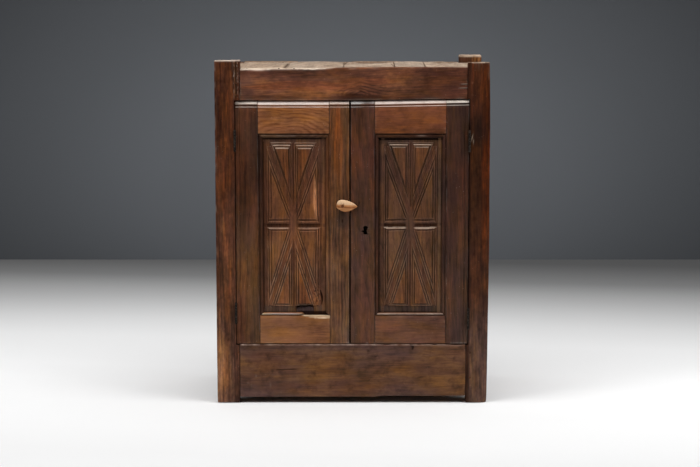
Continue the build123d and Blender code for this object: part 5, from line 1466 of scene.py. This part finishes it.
    tint = blendc(tint, 0.8 * calm.ravel(), (0.86, 0.86, 0.92) if left else (0.78, 0.82, 0.88))
    # painted shade in the recessed channel between the two rows of the cross moulding
    tint = blendc(tint, 0.8 * ((Z > 620) & (Z < 631)).ravel() * (fx > 16) * (fx < 92), (0.30, 0.26, 0.24))
    tint = tint * (np.array([[0.88, 0.86, 0.89]]) + np.array([[0.28, 0.30, 0.25]]) * smooth(640, 560, fz)[:, None])
    # painted shade along the panel's edges beside the sticking, strongest down its left side, then a near-black painted
    # shadow under the top sticking
    rim = np.minimum.reduce([X - s0, s1 - X, Z - SIGHT[0], SIGHT[1] - Z]).ravel()
    dim = np.where(s1 - X.ravel() < 12, 0.3, np.where(Z.ravel() < SIGHT[0] + 12, 0.5, np.where((Z.ravel() > SIGHT[1] - 12) & left, 0.2, 0.85)))
    tint = blendc(tint, dim * smooth(7.5, 2.0, rim), (0.16, 0.13, 0.12))
    tint = blendc(tint, 0.95 * smooth(5.0 if left else 8.4, 3.4 if left else 5.8, SIGHT[1] - Z.ravel()), (0.05, 0.04, 0.04))
    # painted highlight: a pale band in the margin beside the right-hand sticking, and on the right panel one beside the
    # left-hand sticking too
    tint = blendc(tint, 0.7 * (smooth(14, 10, np.abs(s1 - 9.5 - X.ravel()) * 2.4)), (1.1, 1.1, 1.1) if left else (1.6, 1.75, 1.8))
    if not left:
        tint = blendc(tint, 0.6 * (smooth(12, 8, np.abs(X.ravel() - s0 - 15) * 2.0)), (1.25, 1.2, 1.2))
    alive = np.ones((nx, nz), bool)
    if left:
        # pale rubbed place on the right-hand field
        w1 = np.exp(-((W[:, 0] + 126.0 - 4 * smooth(700, 655, W[:, 2])) / (6.2 - 2.8 * smooth(700, 650, W[:, 2]) - 2.4 * smooth(720, 770, W[:, 2]))) ** 2) * smooth(638, 655, W[:, 2]) * smooth(800, 750, W[:, 2])
        core = (w1 * (0.75 + 0.5 * fbm(W, (5, 5, 20), 77, 2)))
        wear_and_highlight = np.maximum(wear_and_highlight, 0.3 * core.reshape(X.shape))
        tint = blendc(tint, np.clip(core * 1.05, 0, 1), (3.5, 3.0, 1.85))
        lip = np.exp(-((W[:, 0] + 115.0 + 0.02 * (W[:, 2] - 720)) / 1.6) ** 2) * smooth(650, 670, W[:, 2]) * smooth(790, 760, W[:, 2])
        tint = blendc(tint, 0.6 * lip, (1.9, 1.7, 1.4))
        # split along the right-hand border, and the broken-out bottom edge
        path = np.interp(Z, [346, 352, 362, 374, 384, 398], [-103.6, -103.8, -102.6, -102.8, -105.5, -109.5])
        wide = np.interp(Z, [346, 352, 362, 374, 384, 398], [1.2, 1.8, 2.6, 3.8, 3.0, 1.0])
        cr = np.exp(-((X - path) / wide) ** 4) * smooth(344, 348, Z) * smooth(401, 396, Z)
        cr = np.maximum(cr, 0.9 * np.exp(-((X + 119.5 + 0.02 * (Z - 720)) / 1.2) ** 2) * smooth(640, 660, Z) * smooth(800, 770, Z))
        # worm-eaten and crumbling beside it
        eaten = np.exp(-(((X + 123) / 17) ** 2 + ((Z - 378) / 34) ** 2) ** 1.5)
        bits = fbm(W, (4, 4, 6), 95, 2).reshape(X.shape)
        tint = blendc(tint, (eaten * smooth(0.1, 0.4, bits)).ravel() * 0.8, (1.6, 1.6, 1.5))
        tint = blendc(tint, (eaten * smooth(-0.12, -0.4, bits)).ravel() * 0.8, (0.4, 0.34, 0.3))
        pit = np.exp(-(((X + 127.3) / 3.4) ** 2 + ((Z - 394.5) / 2.6) ** 2) ** 2)
        pit = np.maximum(pit, np.exp(-(((X + 126.6) / 2.2) ** 2 + ((Z - 424) / 2.0) ** 2) ** 2))
        cr = np.maximum(cr, 0.8 * pit)
        h = h - 5.5 * cr - 1.2 * eaten * smooth(-0.1, -0.4, bits)
        tint = blendc(tint, 0.95 * cr.ravel(), (0.10, 0.08, 0.08))
        # the broken foot: a gap along its top, and a recessed remnant of the feather in the groove whose dark blue-grey
        # and dark edges are painted shade of the recess, with a painted shadow at its foot
        xc = (xs[:-1] + xs[1:])[:, None] / 2 + np.zeros((1, nz))
        zc = (zs[:-1] + zs[1:])[None, :] / 2 + np.zeros((nx, 1))
        Wc = np.stack([xc.ravel(), np.zeros(xc.size), zc.ravel()], 1)
        jag = fbm(Wc, (10, 10, 6), 91, 3).reshape(xc.shape)
        px = [-194, -191, -176, -160, -146, -134, -130]
        topz = np.interp(xc, px, [323, 341, 344.5, 343.5, 346, 343, 324]) + 1.2 * jag
        lowz = np.interp(xc, px, [323, 335.5, 339.5, 337.5, 339.5, 337, 324]) + 1.2 * jag
        alive = ~((xc > -194) & (xc < -130) & (zc < topz) & (zc > lowz))
        frame_ = np.interp(X, px, [323, 341, 344.5, 343.5, 346, 343, 324])
        stump_and_shade = smooth(-194, -191.5, X) * smooth(-130, -132.5, X) * (Z < frame_ + 0.5)
        h = h * (1 - stump_and_shade) + stump_and_shade * (-3.4 + 0.5 * fbm(W, (14, 9, 9), 97, 2).reshape(X.shape))
        tint = blendc(tint, 0.95 * stump_and_shade.ravel(), (0.42, 0.66, 1.55))
        edge_ = np.exp(-((X + 191.6) / 1.6) ** 2) + np.exp(-((X + 131.2) / 1.8) ** 2) + 0.8 * np.exp(-((Z - 334.5) / 1.2) ** 2) * (X < -158)
        tint = blendc(tint, 0.85 * np.clip(edge_, 0, 1).ravel() * stump_and_shade.ravel(), (0.14, 0.2, 0.28))
        under = smooth(326, 322, Z) * smooth(-186, -176, X)
        tint = blendc(tint, 0.9 * under.ravel(), (0.06, 0.05, 0.05))
        near = np.exp(-(np.clip(Z - 343, 0, 99) / 5.0) ** 2) * (X > -198) * (X < -126) * (Z > frame_)
        tint = blendc(tint, 0.5 * near.ravel(), (0.45, 0.4, 0.4))
        h = h - 1.2 * near * (0.6 + 0.5 * fbm(W, 6, 93, 2).reshape(X.shape))
    h = np.clip(h, -4.5, 5.9)
    Y = YF + 16.0 - h
    V = np.stack([X, Y, Z], -1).reshape(-1, 3)
    idx = np.arange((nx + 1) * (nz + 1)).reshape(nx + 1, nz + 1)
    a, b, c, d = idx[:-1, :-1], idx[1:, :-1], idx[1:, 1:], idx[:-1, 1:]
    quads = np.stack([a, b, c, d], -1)[alive]
    # walls round the border and round the break
    edges = np.concatenate([quads[:, [0, 1]], quads[:, [1, 2]], quads[:, [2, 3]], quads[:, [3, 0]]])
    key = set(map(tuple, edges.tolist()))
    rim_edges = [(p, q) for p, q in key if (q, p) not in key]
    nxt = {}
    for p, q in rim_edges:
        nxt.setdefault(p, []).append(q)
    loops = []
    while nxt:
        start = next(iter(sorted(nxt)))
        loop, cur = [], start
        while cur in nxt:
            loop.append(cur)
            nn = nxt[cur].pop()
            if not nxt[cur]:
                del nxt[cur]
            cur = nn
            if cur == start:
                break
        loops.append(loop)
    used = np.unique(quads)
    remap = -np.ones(len(V), int)
    remap[used] = np.arange(len(used))
    Vn = [V[used]]
    tn, wn = [tint[used]], [wear_and_highlight.ravel()[used]]
    count = len(used)
    faces = [remap[quads]]
    loops3 = []
    backs = []
    for loop in loops:
        L = remap[np.array(loop)]
        back = V[np.array(loop)].copy()
        back[:, 1] = YF + 25.0
        B = np.arange(count, count + len(L))
        count += len(L)
        Vn.append(back)
        tn.append(np.full((len(L), 3), 0.7))
        wn.append(np.zeros(len(L)))
        faces.append(np.stack([np.roll(L, -1), L, B, np.roll(B, -1)], -1))
        loops3.append([Vector((float(p[0]), float(p[2]), 0.0)) for p in back])
        backs.append(B)
    allB = np.concatenate(backs)
    tris = np.array(tessellate_polygon(loops3))
    tris = allB[tris]
    Vall = np.concatenate(Vn)
    ta, tb, tc = Vall[tris[:, 0]], Vall[tris[:, 1]], Vall[tris[:, 2]]
    ny = np.cross(tb - ta, tc - ta)[:, 1]
    tris = np.where(ny[:, None] > 0, tris, tris[:, ::-1])
    faces.append(tris)
    if volume(Vall, [faces[0]] + faces[1:]) < 0:
        faces = [f[:, ::-1] for f in faces]
    ob = new_mesh(name, Vall, faces)
    sharp = ob.data.attributes.new("sharp_edge", "BOOLEAN", "EDGE")
    ev = np.zeros(len(ob.data.edges) * 2, np.int32)
    ob.data.edges.foreach_get("vertices", ev)
    ev = ev.reshape(-1, 2)
    isback = np.zeros(len(Vall), bool)
    isback[len(used):] = True
    rimv = np.zeros(len(Vall), bool)
    for loop in loops:
        rimv[remap[np.array(loop)]] = True
    sh = (isback[ev[:, 0]] & isback[ev[:, 1]]) | (rimv[ev[:, 0]] & rimv[ev[:, 1]])
    sharp.data.foreach_set("value", sh)
    return attach(ob, node, np.concatenate(tn), np.concatenate(wn), mat)


carved_panel("left_panel_carving", "left_panel", LS[0], LS[1], -201.0, MAT_PANEL_L, 301, True)
carved_panel("right_panel_carving", "right_panel", RS[0], RS[1], 202.0, MAT_PANEL_R, 302, False)


# ------------------------------------------------------------------ top, sides, back, inside
MAT_TOP = wood("bleached_board_wood", "y", (112, 94, 80), (172, 152, 134), (204, 186, 168), alt=(150, 126, 106), alt_amount=0.5,
               seed=51, ring=9, figure=0.25, rough=0.85, bare_and_highlight=(226, 208, 184), grime=0.06, bump=0.2,
               specks=0.0, pores=0.12, blotch=0.45, streak=0.5, fine=0.25, drifting=False)
MAT_SIDE = wood("side_board_wood", "z", (52, 30, 19), (98, 62, 42), (130, 86, 58), alt=(80, 58, 46), alt_amount=0.5,
                seed=52, ring=10, figure=0.55, tilt=(0.2, 0.1), bare_and_highlight=(150, 116, 90))
MAT_SIDE_RAIL = wood("side_rail_wood", "y", (50, 28, 18), (94, 58, 38), (126, 80, 52), alt=(76, 54, 42), alt_amount=0.5,
                     seed=53, ring=9, figure=0.45, bare_and_highlight=(150, 116, 90))
MAT_BACK = wood("back_board_wood", "z", (70, 50, 36), (122, 92, 68), (154, 120, 92), alt=(104, 84, 68), alt_amount=0.5,
                seed=54, ring=9, figure=0.6, tilt=(0.2, 0.1), rough=0.78, bare_and_highlight=(170, 142, 116))
MAT_INX = wood("inside_board_wood", "x", (74, 50, 34), (128, 92, 64), (160, 120, 86), alt=(108, 82, 62), alt_amount=0.5,
               seed=55, ring=9, figure=0.5, rough=0.75, bare_and_highlight=(170, 142, 116))
MAT_INY = wood("inside_batten_wood", "y", (74, 50, 34), (124, 90, 62), (154, 116, 82), seed=56, ring=8, figure=0.4,
               rough=0.75, bare_and_highlight=(170, 142, 116))

joints = (-464.0, -224.0, -28.0, 151.0, 258.0, 464.0)
for i in range(5):
    gap = (0, 0.05, 0.1, 0.25, 0.3, 0)
    xa = joints[i] + gap[i]
    xb = joints[i + 1] - gap[i + 1]
    ta, tb = 33.4, 431.8

    def board_section(t, i=i, xa=xa, xb=xb):
        front, rear = t < 61, t > 389
        a, b = xa, xb
        if i == 0 and front:
            a = FL + 4.6
        elif i == 0 and rear:
            a = RL + 1
        if i == 4 and front:
            b = FR - 1
        elif i == 4 and rear:
            b = RR - 1
        skew = 3.0 * (t - 230) / 400 * (0.6 if 0 < i < 4 else 0)
        aa = a + (skew if i else 0)
        bb = b + (skew if i < 4 else 0)
        c = [(aa, 1145), (bb, 1145), (bb, 1165.2), (aa, 1165.2)]
        n = max(8, int((xb - xa) / 2.4))
        p, e = ring(c, [1.0, 1.0, 1.5, 1.5], [n // 3, 2, n, 2])
        return p, e * 0.5

    def board_shape(V, nrm, E, i=i):
        up = nrm[:, 2] > 0.5
        cup = 1.6 * np.cos((V[:, 0] - (joints[i] + joints[i + 1]) / 2) / (joints[i + 1] - joints[i]) * math.pi) - 1.2
        d = up * cup
        d += up * smooth(230, 400, V[:, 1] - YF) * np.interp(V[:, 0], [-380, -240, -190, -60, -20, 30, 80, 130, 150, 330, 350],
                                                            [0.0, 0.0, 2.8, 3.2, 2.6, 0.4, 0.0, 0.6, 2.8, 2.8, 0.0])
        near = np.exp(-((V[:, 1] - YF - 33) / 6) ** 2)
        d -= near * np.clip(fbm(V, (22, 22, 22), 401 + i, 2), 0, 1) * 3.0 * up
        return d

    def board_paint(V, nrm, E, wear_and_highlight, i=i):
        tint = np.tile(np.array([(1.0, 0.98, 0.95), (0.97, 0.96, 0.95), (1.04, 1.02, 1.0), (0.98, 0.98, 0.98), (1.02, 1.0, 0.97)][i]), (len(V), 1))
        under = nrm[:, 2] < -0.3
        tint = blendc(tint, 0.8 * under, (0.55, 0.45, 0.38))
        s = np.clip(fbm(V, (24, 120, 30), 431 + i, 3) - 0.15, 0, 1)
        tint = blendc(tint, 0.8 * s, (0.72, 0.62, 0.52))
        dark = np.where(V[:, 0] < (joints[i] + joints[i + 1]) / 2, (0, 0.05, 0.15, 0.6, 0.6)[i], (0.05, 0.15, 0.6, 0.6, 0)[i])
        tint = blendc(tint, dark * smooth(0.3, 0.5, E) * (nrm[:, 2] > -0.3), (0.35, 0.27, 0.22))
        y = V[:, 1] - YF
        tint = tint * (0.86 + 0.34 * smooth(150, 34, y))[:, None]
        tint = blendc(tint, (0.5 if i > 1 else 0.15) * np.clip(fbm(V, (60, 30, 30), 441 + i, 3) + 0.1, 0, 1) * smooth(300, 420, y), (0.6, 0.5, 0.42))
        up = nrm[:, 2] > 0.2
        # weather checks, knots and a flake split off the front
        for xc, ya, yb, slant, w in ((-232.5, 70, 345, 0.02, 6.2), (153, 90, 330, -0.05, 1.8), (262, 60, 240, 0.28, 1.6), (320, 120, 260, 0.5, 1.5),
                                     (-27, 290, 400, 0.1, 5.0)):
            k = np.exp(-((V[:, 0] - xc - slant * (y - ya)) / w) ** 2) * smooth(ya - 20, ya + 20, y) * smooth(yb + 20, yb - 20, y)
            tint = blendc(tint, 0.92 * k * up, (0.14, 0.10, 0.08))
        xs = V[:, 0] + 16 * fbm(V, (30, 40, 30), 481, 3)
        ys = y + 34 * fbm(V, (26, 60, 30), 483, 3)
        k = smooth(318, 372, ys) * smooth(432, 408, y) * np.maximum(smooth(10, 40, xs) * smooth(146, 116, xs), smooth(290, 316, xs) * smooth(376, 350, xs))
        tint = blendc(tint, 0.8 * k * up, (0.28, 0.21, 0.17))
        k = np.exp(-((y - 118) / 17) ** 2) * smooth(149, 153, V[:, 0]) * smooth(184, 172, V[:, 0])
        k = np.maximum(k, np.exp(-((y - 75) / 12) ** 2) * smooth(-352, -346, V[:, 0]) * smooth(-300, -308, V[:, 0]))
        tint = blendc(tint, 0.7 * k * up, (0.3, 0.23, 0.19))
        m_ = fbm(V, (30, 60, 30), 471 + i, 3)
        tint = tint * (1 + 0.34 * m_ * up)[:, None]
        return tint, np.maximum(wear_and_highlight * 0.2, smooth(60, 38, y) * up * (0.55 + 0.5 * fbm(V, (30, 12, 30), 451 + i, 2)))

    ty = spread(ta, tb, 7.0, er=1.2)
    ty = np.unique(np.concatenate([ty, [60.8, 61.2, 388.8, 389.2]]))
    sweep(f"top_board_{i + 1}_wood", f"top_board_{i + 1}", "y", ty, board_section, er=1.2, seed=11 + i, mat=MAT_TOP,
          paint=board_paint, shape=board_shape, edge_wear=0.7, wave=1.6)


def simple(node, axis, t0, t1, sec, mat, seed, base=(1, 1, 1), dt=9.0, wearf=0.5, er=1.5, patch=()):
    sweep(node + "_wood", node, axis, spread(t0, t1, dt, er=er), sec, er=er, seed=seed, mat=mat,
          paint=lambda V, nrm, E, w: (plain_paint(base, patch, None, seed)(V, nrm, E, w * wearf)), edge_wear=0.9)


def yz(y0, y1, z0, z1, r=1.8, d=7.0):
    n = max(2, int((z1 - z0) / d))
    m = max(1, int((y1 - y0) / d))
    p, e = ring([(y0, z0), (y0, z1), (y1, z1), (y1, z0)], [r] * 4, [n, m, n, m])
    return lambda t: (p, e)


for side, s in (("left", -1), ("right", 1)):
    k = 0 if s < 0 else 10
    x0, x1 = sorted((s * 441, s * 453))

    def side_panel_section(t, x0=x0, x1=x1, s=s):
        # one wide board, its section a plain rectangle
        p, e = ring([(x0, 53), (x1, 53), (x1, 397), (x0, 397)], [1.0] * 4, [1, 48, 1, 48])
        return p, e

    def side_panel_shape(V, nrm, E, s=s):
        y = V[:, 1] - YF
        z = V[:, 2]
        out = nrm[:, 0] * s > 0.5
        # old boards glued and shrunk apart: two open joints, and a shallow ripple across the face
        g = 0.0
        for yc in (158.0, 276.0):
            g = g - out * np.exp(-((y - yc - 2.0 * np.sin(z / 210)) / 1.3) ** 2) * 1.8
        cup = -0.8 * out * (np.abs((((y - 53) % 118) - 59) / 59) ** 2)
        return g + cup

    def side_panel_paint(V, nrm, E, wear_and_highlight, s=s):
        y, z = V[:, 1] - YF, V[:, 2]
        out = nrm[:, 0] * s > 0.5
        tint = np.ones((len(V), 3))
        v = fbm(V, (300, 60, 700), 505 + s, 2)
        tint = tint * (1 + 0.25 * v)[:, None]
        for yc in (158.0, 276.0):
            tint = blendc(tint, 0.75 * out * np.exp(-((y - yc - 2.0 * np.sin(z / 210)) / 2.2) ** 2), (0.2, 0.16, 0.14))
        rim = np.minimum.reduce([y - 60, 390 - y, z - 202, 1060 - z])
        tint = blendc(tint, 0.5 * smooth(14, 0, rim), (0.45, 0.4, 0.38))
        tint = blendc(tint, 0.6 * (~out), (1.1, 1.1, 1.05))
        return tint, wear_and_highlight * 0.3

    sweep(f"{side}_side_panel_wood", f"{side}_side_panel", "z", spread(193, 1069, 8.0, er=1.0), side_panel_section, er=1.0,
          seed=520 + k, mat=MAT_SIDE, paint=side_panel_paint, shape=side_panel_shape, edge_wear=0.3)
    a, b = sorted((s * 436, s * 464))
    simple(f"{side}_side_top_rail", "y", 60, 390, rect_section(a, b, 1060, 1145, 2.4, 6, 6), MAT_SIDE_RAIL, 540 + k, dt=7)
    c0, c1 = sorted((s * 436, s * 464))
    d0, d1 = sorted((s * 420, s * 464))
    if s < 0:
        cc = [(-464, 90), (-420, 90), (-420, 182), (-436, 182), (-436, 202), (-464, 202)]
        cn = [6, 12, 3, 3, 4, 16]
    else:
        cc = [(420, 90), (464, 90), (464, 202), (436, 202), (436, 182), (420, 182)]
        cn = [6, 16, 4, 3, 3, 12]
    P, Ed = ring(cc, [2.2] * 6, cn)
    simple(f"{side}_side_bottom_rail", "y", 60, 390, (lambda t, P=P, Ed=Ed: (P, Ed)), MAT_SIDE_RAIL, 560 + k, dt=7)
    e0, e1 = sorted((s * 412, s * 436))
    simple(f"{side}_shelf_bearer", "y", 60, 390, rect_section(e0, e1, 620, 650, 2.0, 6, 6), MAT_INY, 580 + k, dt=9)

for i in range(4):
    x0 = RL + 194.5 * i + 0.6
    top = 1168 - (0, 2, 0.5, 1.5)[i]

    def back_shape(V, nrm, E, i=i):
        top = smooth(1150, 1168, V[:, 2])
        return -top * E * np.clip(fbm(V, (16, 16, 16), 601 + i, 2), 0, 1) * 5.0

    def back_paint(V, nrm, E, wear_and_highlight, i=i):
        tint = np.tile(np.array([(1.0, 1.0, 1.0), (0.86, 0.87, 0.9), (1.08, 1.05, 1.0), (0.93, 0.92, 0.92)][i]), (len(V), 1))
        tint = blendc(tint, smooth(1140, 1162, V[:, 2]) * (nrm[:, 1] < 0.3) * 0.8, (0.5, 0.4, 0.35))
        return tint, np.maximum(wear_and_highlight * 0.4, smooth(1164.5, 1167, V[:, 2]) * 0.65)

    sweep(f"back_board_{i + 1}_wood", f"back_board_{i + 1}", "z", spread(60, top, 9.0, er=1.2),
          rect_section(x0 - 1.1, x0 + 194.3, 436.2, 450, 1.2, 7, 5), er=1.2, seed=610 + i, mat=MAT_BACK, paint=back_paint,
          shape=back_shape, edge_wear=0.9)

simple("top_rear_rail", "x", RL, RR, yz(408, 436, 1065, 1145), MAT_INX, 631)
simple("bottom_rear_rail", "x", RL, RR, yz(408, 436, 100, 182), MAT_INX, 632)
simple("shelf_board_1", "x", -439, 439, yz(66, 225, 650, 670, 1.6), MAT_INX, 633)
simple("shelf_board_2", "x", -439, 439, yz(226.5, 387, 650, 670, 1.6), MAT_INX, 634)


def floor_piece(node, y0, y1, front, seed):
    def sec(t):
        a, b = y0, y1
        if front and (t < FL + 1 or t > FR - 1):
            a = 61.0
        if not front and (t < RL + 1 or t > RR - 1):
            b = 389.0
        return ring([(a, 182), (a, 202), (b, 202), (b, 182)], [1.6] * 4, [2, 26, 2, 26])
    tt = spread(-435, 435, 9.0, er=1.5)
    cuts = (FL + 0.9, FL + 1.1, FR - 1.1, FR - 0.9) if front else (RL + 0.9, RL + 1.1, RR - 1.1, RR - 0.9)
    tt = np.unique(np.concatenate([tt, cuts]))
    sweep(node + "_wood", node, "x", tt, sec, er=1.5, seed=seed, mat=MAT_INX,
          paint=lambda V, nrm, E, w: (np.full((len(V), 3), 0.9), w * 0.5), edge_wear=0.9)


floor_piece("floor_board_1", 40.3, 236, True, 641)
# the hole that the left door's bolt drops into
board = bpy.data.objects["floor_board_1_wood"]
m = 24
turn = np.arange(m) / m * 2 * math.pi
HV = np.concatenate([np.stack([-40 + 5.1 * np.cos(turn), YF + 48 + 5.1 * np.sin(turn), np.full(m, zz)], 1) for zz in (178.0, 206.0)])
j = np.arange(m)
hf = [np.stack([j, (j + 1) % m, (j + 1) % m + m, j + m], -1), np.arange(m)[None, ::-1], (np.arange(m) + m)[None, :]]
if volume(HV, hf) < 0:
    hf = [f[:, ::-1] for f in hf]
drill = new_mesh("drill", HV, hf, shade=False)
md = board.modifiers.new("cut", "BOOLEAN")
md.operation = "DIFFERENCE"
md.solver = "EXACT"
md.object = drill
bored = bpy.data.meshes.new_from_object(board.evaluated_get(bpy.context.evaluated_depsgraph_get()))
board.modifiers.clear()
bpy.data.objects.remove(drill, do_unlink=True)
n = len(bored.vertices)
co = np.zeros(n * 3, np.float32)
bored.vertices.foreach_get("co", co)
co = co.reshape(-1, 3) * 1000
hole_wall = np.hypot(co[:, 0] + 40, co[:, 1] - YF - 48) < 5.6
col = np.full((n, 4), 0.9, np.float32)
# painted shade: the wall of the bored hole darkened
col[hole_wall, :3] = 0.45
bored.attributes["tint"].data.foreach_set("color", col.reshape(-1))
bored.attributes["wear_and_highlight"].data.foreach_set("value", np.zeros(n, np.float32))
board.data = bored
floor_piece("floor_board_2", 237.5, 435, False, 642)

# ------------------------------------------------------------------ turn button
MAT_BUTTON = wood("whittled_pine", "x", (176, 112, 66), (222, 164, 112), (244, 206, 160), alt=(206, 140, 88), alt_amount=0.4,
                  seed=71, ring=5, figure=0.4, rough=0.6, bare_and_highlight=(250, 225, 190), grime=0.12, bump=0.35,
                  drifting=False)


def turn_button():
    outline = np.array([(-52.6, 690), (-52.8, 700), (-50, 708), (-44.5, 713.2), (-37, 715.4), (-27, 715.4), (-14, 712.6),
                        (-2, 708), (8, 702.6), (15, 697.3), (19.3, 693.4), (20, 691.8), (17.0, 689.4), (10.5, 685.6), (2, 681.2),
                        (-9, 676.8), (-20, 674.4), (-29, 675.6), (-38, 678.8), (-46, 684.0), (-50.8, 687.0)])
    # resample the outline evenly
    cl = np.vstack([outline, outline[:1]])
    seg = np.r_[0, np.cumsum(np.linalg.norm(np.diff(cl, axis=0), axis=1))]
    m = 132
    s = np.linspace(0, seg[-1], m, endpoint=False)
    P = np.stack([np.interp(s, seg, cl[:, 0]), np.interp(s, seg, cl[:, 1])], 1)
    cen = np.array([-20.0, 694.5])
    levels = [(1.0, 0.4), (1.0, 1.2), (1.0, 9.0), (0.985, 12.0)] + [(f, None) for f in (0.94, 0.88, 0.81, 0.74, 0.67, 0.60, 0.53, 0.46, 0.38, 0.30, 0.21, 0.12, 0.05)]
    V, n = [], 0
    ridge_z = lambda x: 695.0 - 0.06 * (x + 20)
    for f, dep in levels:
        Q = cen + (P - cen) * f
        if dep is None:
            # two knife-cut slopes meeting in a ridge, dropping to the point and the butt
            dz = Q[:, 1] - ridge_z(Q[:, 0])
            top = 21.6 - 0.40 * np.clip(dz, 0, 99) * 1.0 - 0.34 * np.clip(-dz, 0, 99)
            top -= 9.0 * smooth(-14, 22, Q[:, 0]) ** 1.3 + 3.2 * smooth(-38, -53, Q[:, 0])
            rad = np.linalg.norm((P - cen), axis=1)
            lip = 12.0 + (1 - f) * rad * 0.95
            dep_v = np.minimum(top, lip)
        else:
            dz = P[:, 1] - 694.5
            low = np.minimum(dep, np.where(P[:, 0] > -5, dep * (1 - 0.25 * smooth(-5, 20, P[:, 0])), dep))
            dep_v = low
        V.append(np.stack([Q[:, 0], YF + DY - 0.6 - dep_v, Q[:, 1]], 1))
    V = np.concatenate(V)
    M = len(levels)
    i = np.arange(M - 1)[:, None]
    j = np.arange(m)[None, :]
    q = np.stack([i * m + j, i * m + (j + 1) % m, (i + 1) * m + (j + 1) % m, (i + 1) * m + j], -1).reshape(-1, 4)
    faces = [q, np.arange(m)[None, ::-1], (np.arange(m) + (M - 1) * m)[None, :]]
    if volume(V, faces) < 0:
        faces = [f[:, ::-1] for f in faces]
    nrm = vertex_normals(V, [faces[0]])
    facet = fbm(V, (16, 16, 9), 701, 2)
    V = V + nrm * (0.5 * np.round(facet * 2.2) / 2.2 - 0.3)[:, None]
    V[:, 1] = np.maximum(V[:, 1], YF - 17.6)
    V[:, 1] = np.minimum(V[:, 1], YF + DY - 0.9)
    dz = V[:, 2] - ridge_z(V[:, 0])
    tint = np.ones((len(V), 3))
    tint = blendc(tint, smooth(1.5, -2.5, dz) * 0.85, (1.24, 1.20, 1.18))
    tint = blendc(tint, smooth(1.5, -2, dz) * smooth(-8, -4, dz) * 0.6, (0.66, 0.44, 0.32))
    wear_and_highlight = smooth(2, 8, dz) * 0.45
    # knife slips and old nail holes about the butt
    for xa, za, rx, rz, k in ((-30, 700.0, 4.0, 1.6, 0.85), (-28.5, 702.5, 1.6, 3.2, 0.7), (-39.5, 699.5, 2.0, 2.4, 0.8), (-36.5, 704.5, 1.4, 3.4, 0.6),
                              (-46.0, 692.5, 4.6, 2.4, 0.5), (6.0, 690.5, 1.8, 1.8, 0.6), (10.5, 688.0, 2.2, 1.4, 0.4)):
        m_ = k * np.exp(-np.hypot((V[:, 0] - xa) / rx, (V[:, 2] - za) / rz) ** 2)
        tint = blendc(tint, m_, (0.35, 0.22, 0.15))
        wear_and_highlight = wear_and_highlight * (1 - m_)
    edge = smooth(9, 13.5, -dz) * (V[:, 0] > -40) * (V[:, 0] < 8)
    tint = blendc(tint, 0.6 * edge, (0.95, 0.85, 0.75))
    ob = new_mesh("turn_button_wood", V, faces)
    return attach(ob, "turn_button", tint, wear_and_highlight, MAT_BUTTON)


turn_button()

# ------------------------------------------------------------------ pegs: split from a lighter wood
MAT_PEG = wood("peg_end_wood", "y", (44, 26, 17), (78, 46, 30), (116, 72, 46), seed=81, ring=3, figure=0.5, rough=0.7,
               bare_and_highlight=(190, 160, 130), grime=0.3)


def pegs(name, node, spots, seed):
    parts = []
    rnd = np.random.RandomState(seed)
    for x, z, r, y0, y1 in spots:
        m = 14
        ang = np.arange(m) / m * 2 * math.pi + rnd.uniform(0, 1)
        rad = r * (1 - 0.10 * rnd.rand(m) - 0.06 * (np.arange(m) % 2))
        lv = [(y0 + 0.6, 0.55), (y0, 0.82), (y0 + 0.45, 0.97), (y0 + 2.0, 1.0), (y1 - 0.5, 1.0), (y1, 0.9)]
        V = np.concatenate([np.stack([x + rad * f * np.cos(ang), np.full(m, YF + yy), z + rad * f * np.sin(ang)], 1) for yy, f in lv])
        M = len(lv)
        i = np.arange(M - 1)[:, None]
        j = np.arange(m)[None, :]
        q = np.stack([i * m + j, i * m + (j + 1) % m, (i + 1) * m + (j + 1) % m, (i + 1) * m + j], -1).reshape(-1, 4)
        faces = [q, np.arange(m)[None, ::-1], (np.arange(m) + (M - 1) * m)[None, :]]
        if volume(V, faces) < 0:
            faces = [f[:, ::-1] for f in faces]
        t = np.full((len(V), 3), rnd.uniform(0.7, 1.05))
        parts.append((V, faces, t, np.zeros(len(V))))
    return join_parts(name, node, parts, MAT_PEG)


pz = (91.0, 180.0, 1076.0, 1118.0)
pegs("frame_pegs_wood", "frame_pegs",
     [(x, z, 4.3, -0.6, 48.5) for x in (-395.0, 412.0) for z in pz]
     + [(x, z, 4.3, 450.6, 402.0) for x in (RL - 16, RR + 16) for z in (140.0, 1106.0)], 811)
for side, (xa, xb) in (("left", (LX[1], LX[2])), ("right", (RX[1], RX[2]))):
    pegs(f"{side}_door_pegs_wood", f"{side}_door_pegs",
         [(x, z, 3.4, DY + DT + 0.3, 12.0) for x in (xa - 22, xb + 22) for z in (240, 282, 968, 1014)], 820 + len(side))

# ------------------------------------------------------------------ ironwork keeps its CAD shape
for n in NODES:
    if SLOT[n] == "iron":
        ob = NODES[n]
        ob.data.materials.clear()
        ob.data.materials.append(iron("rusty_nail", True) if n == "turn_button_nail" else iron())
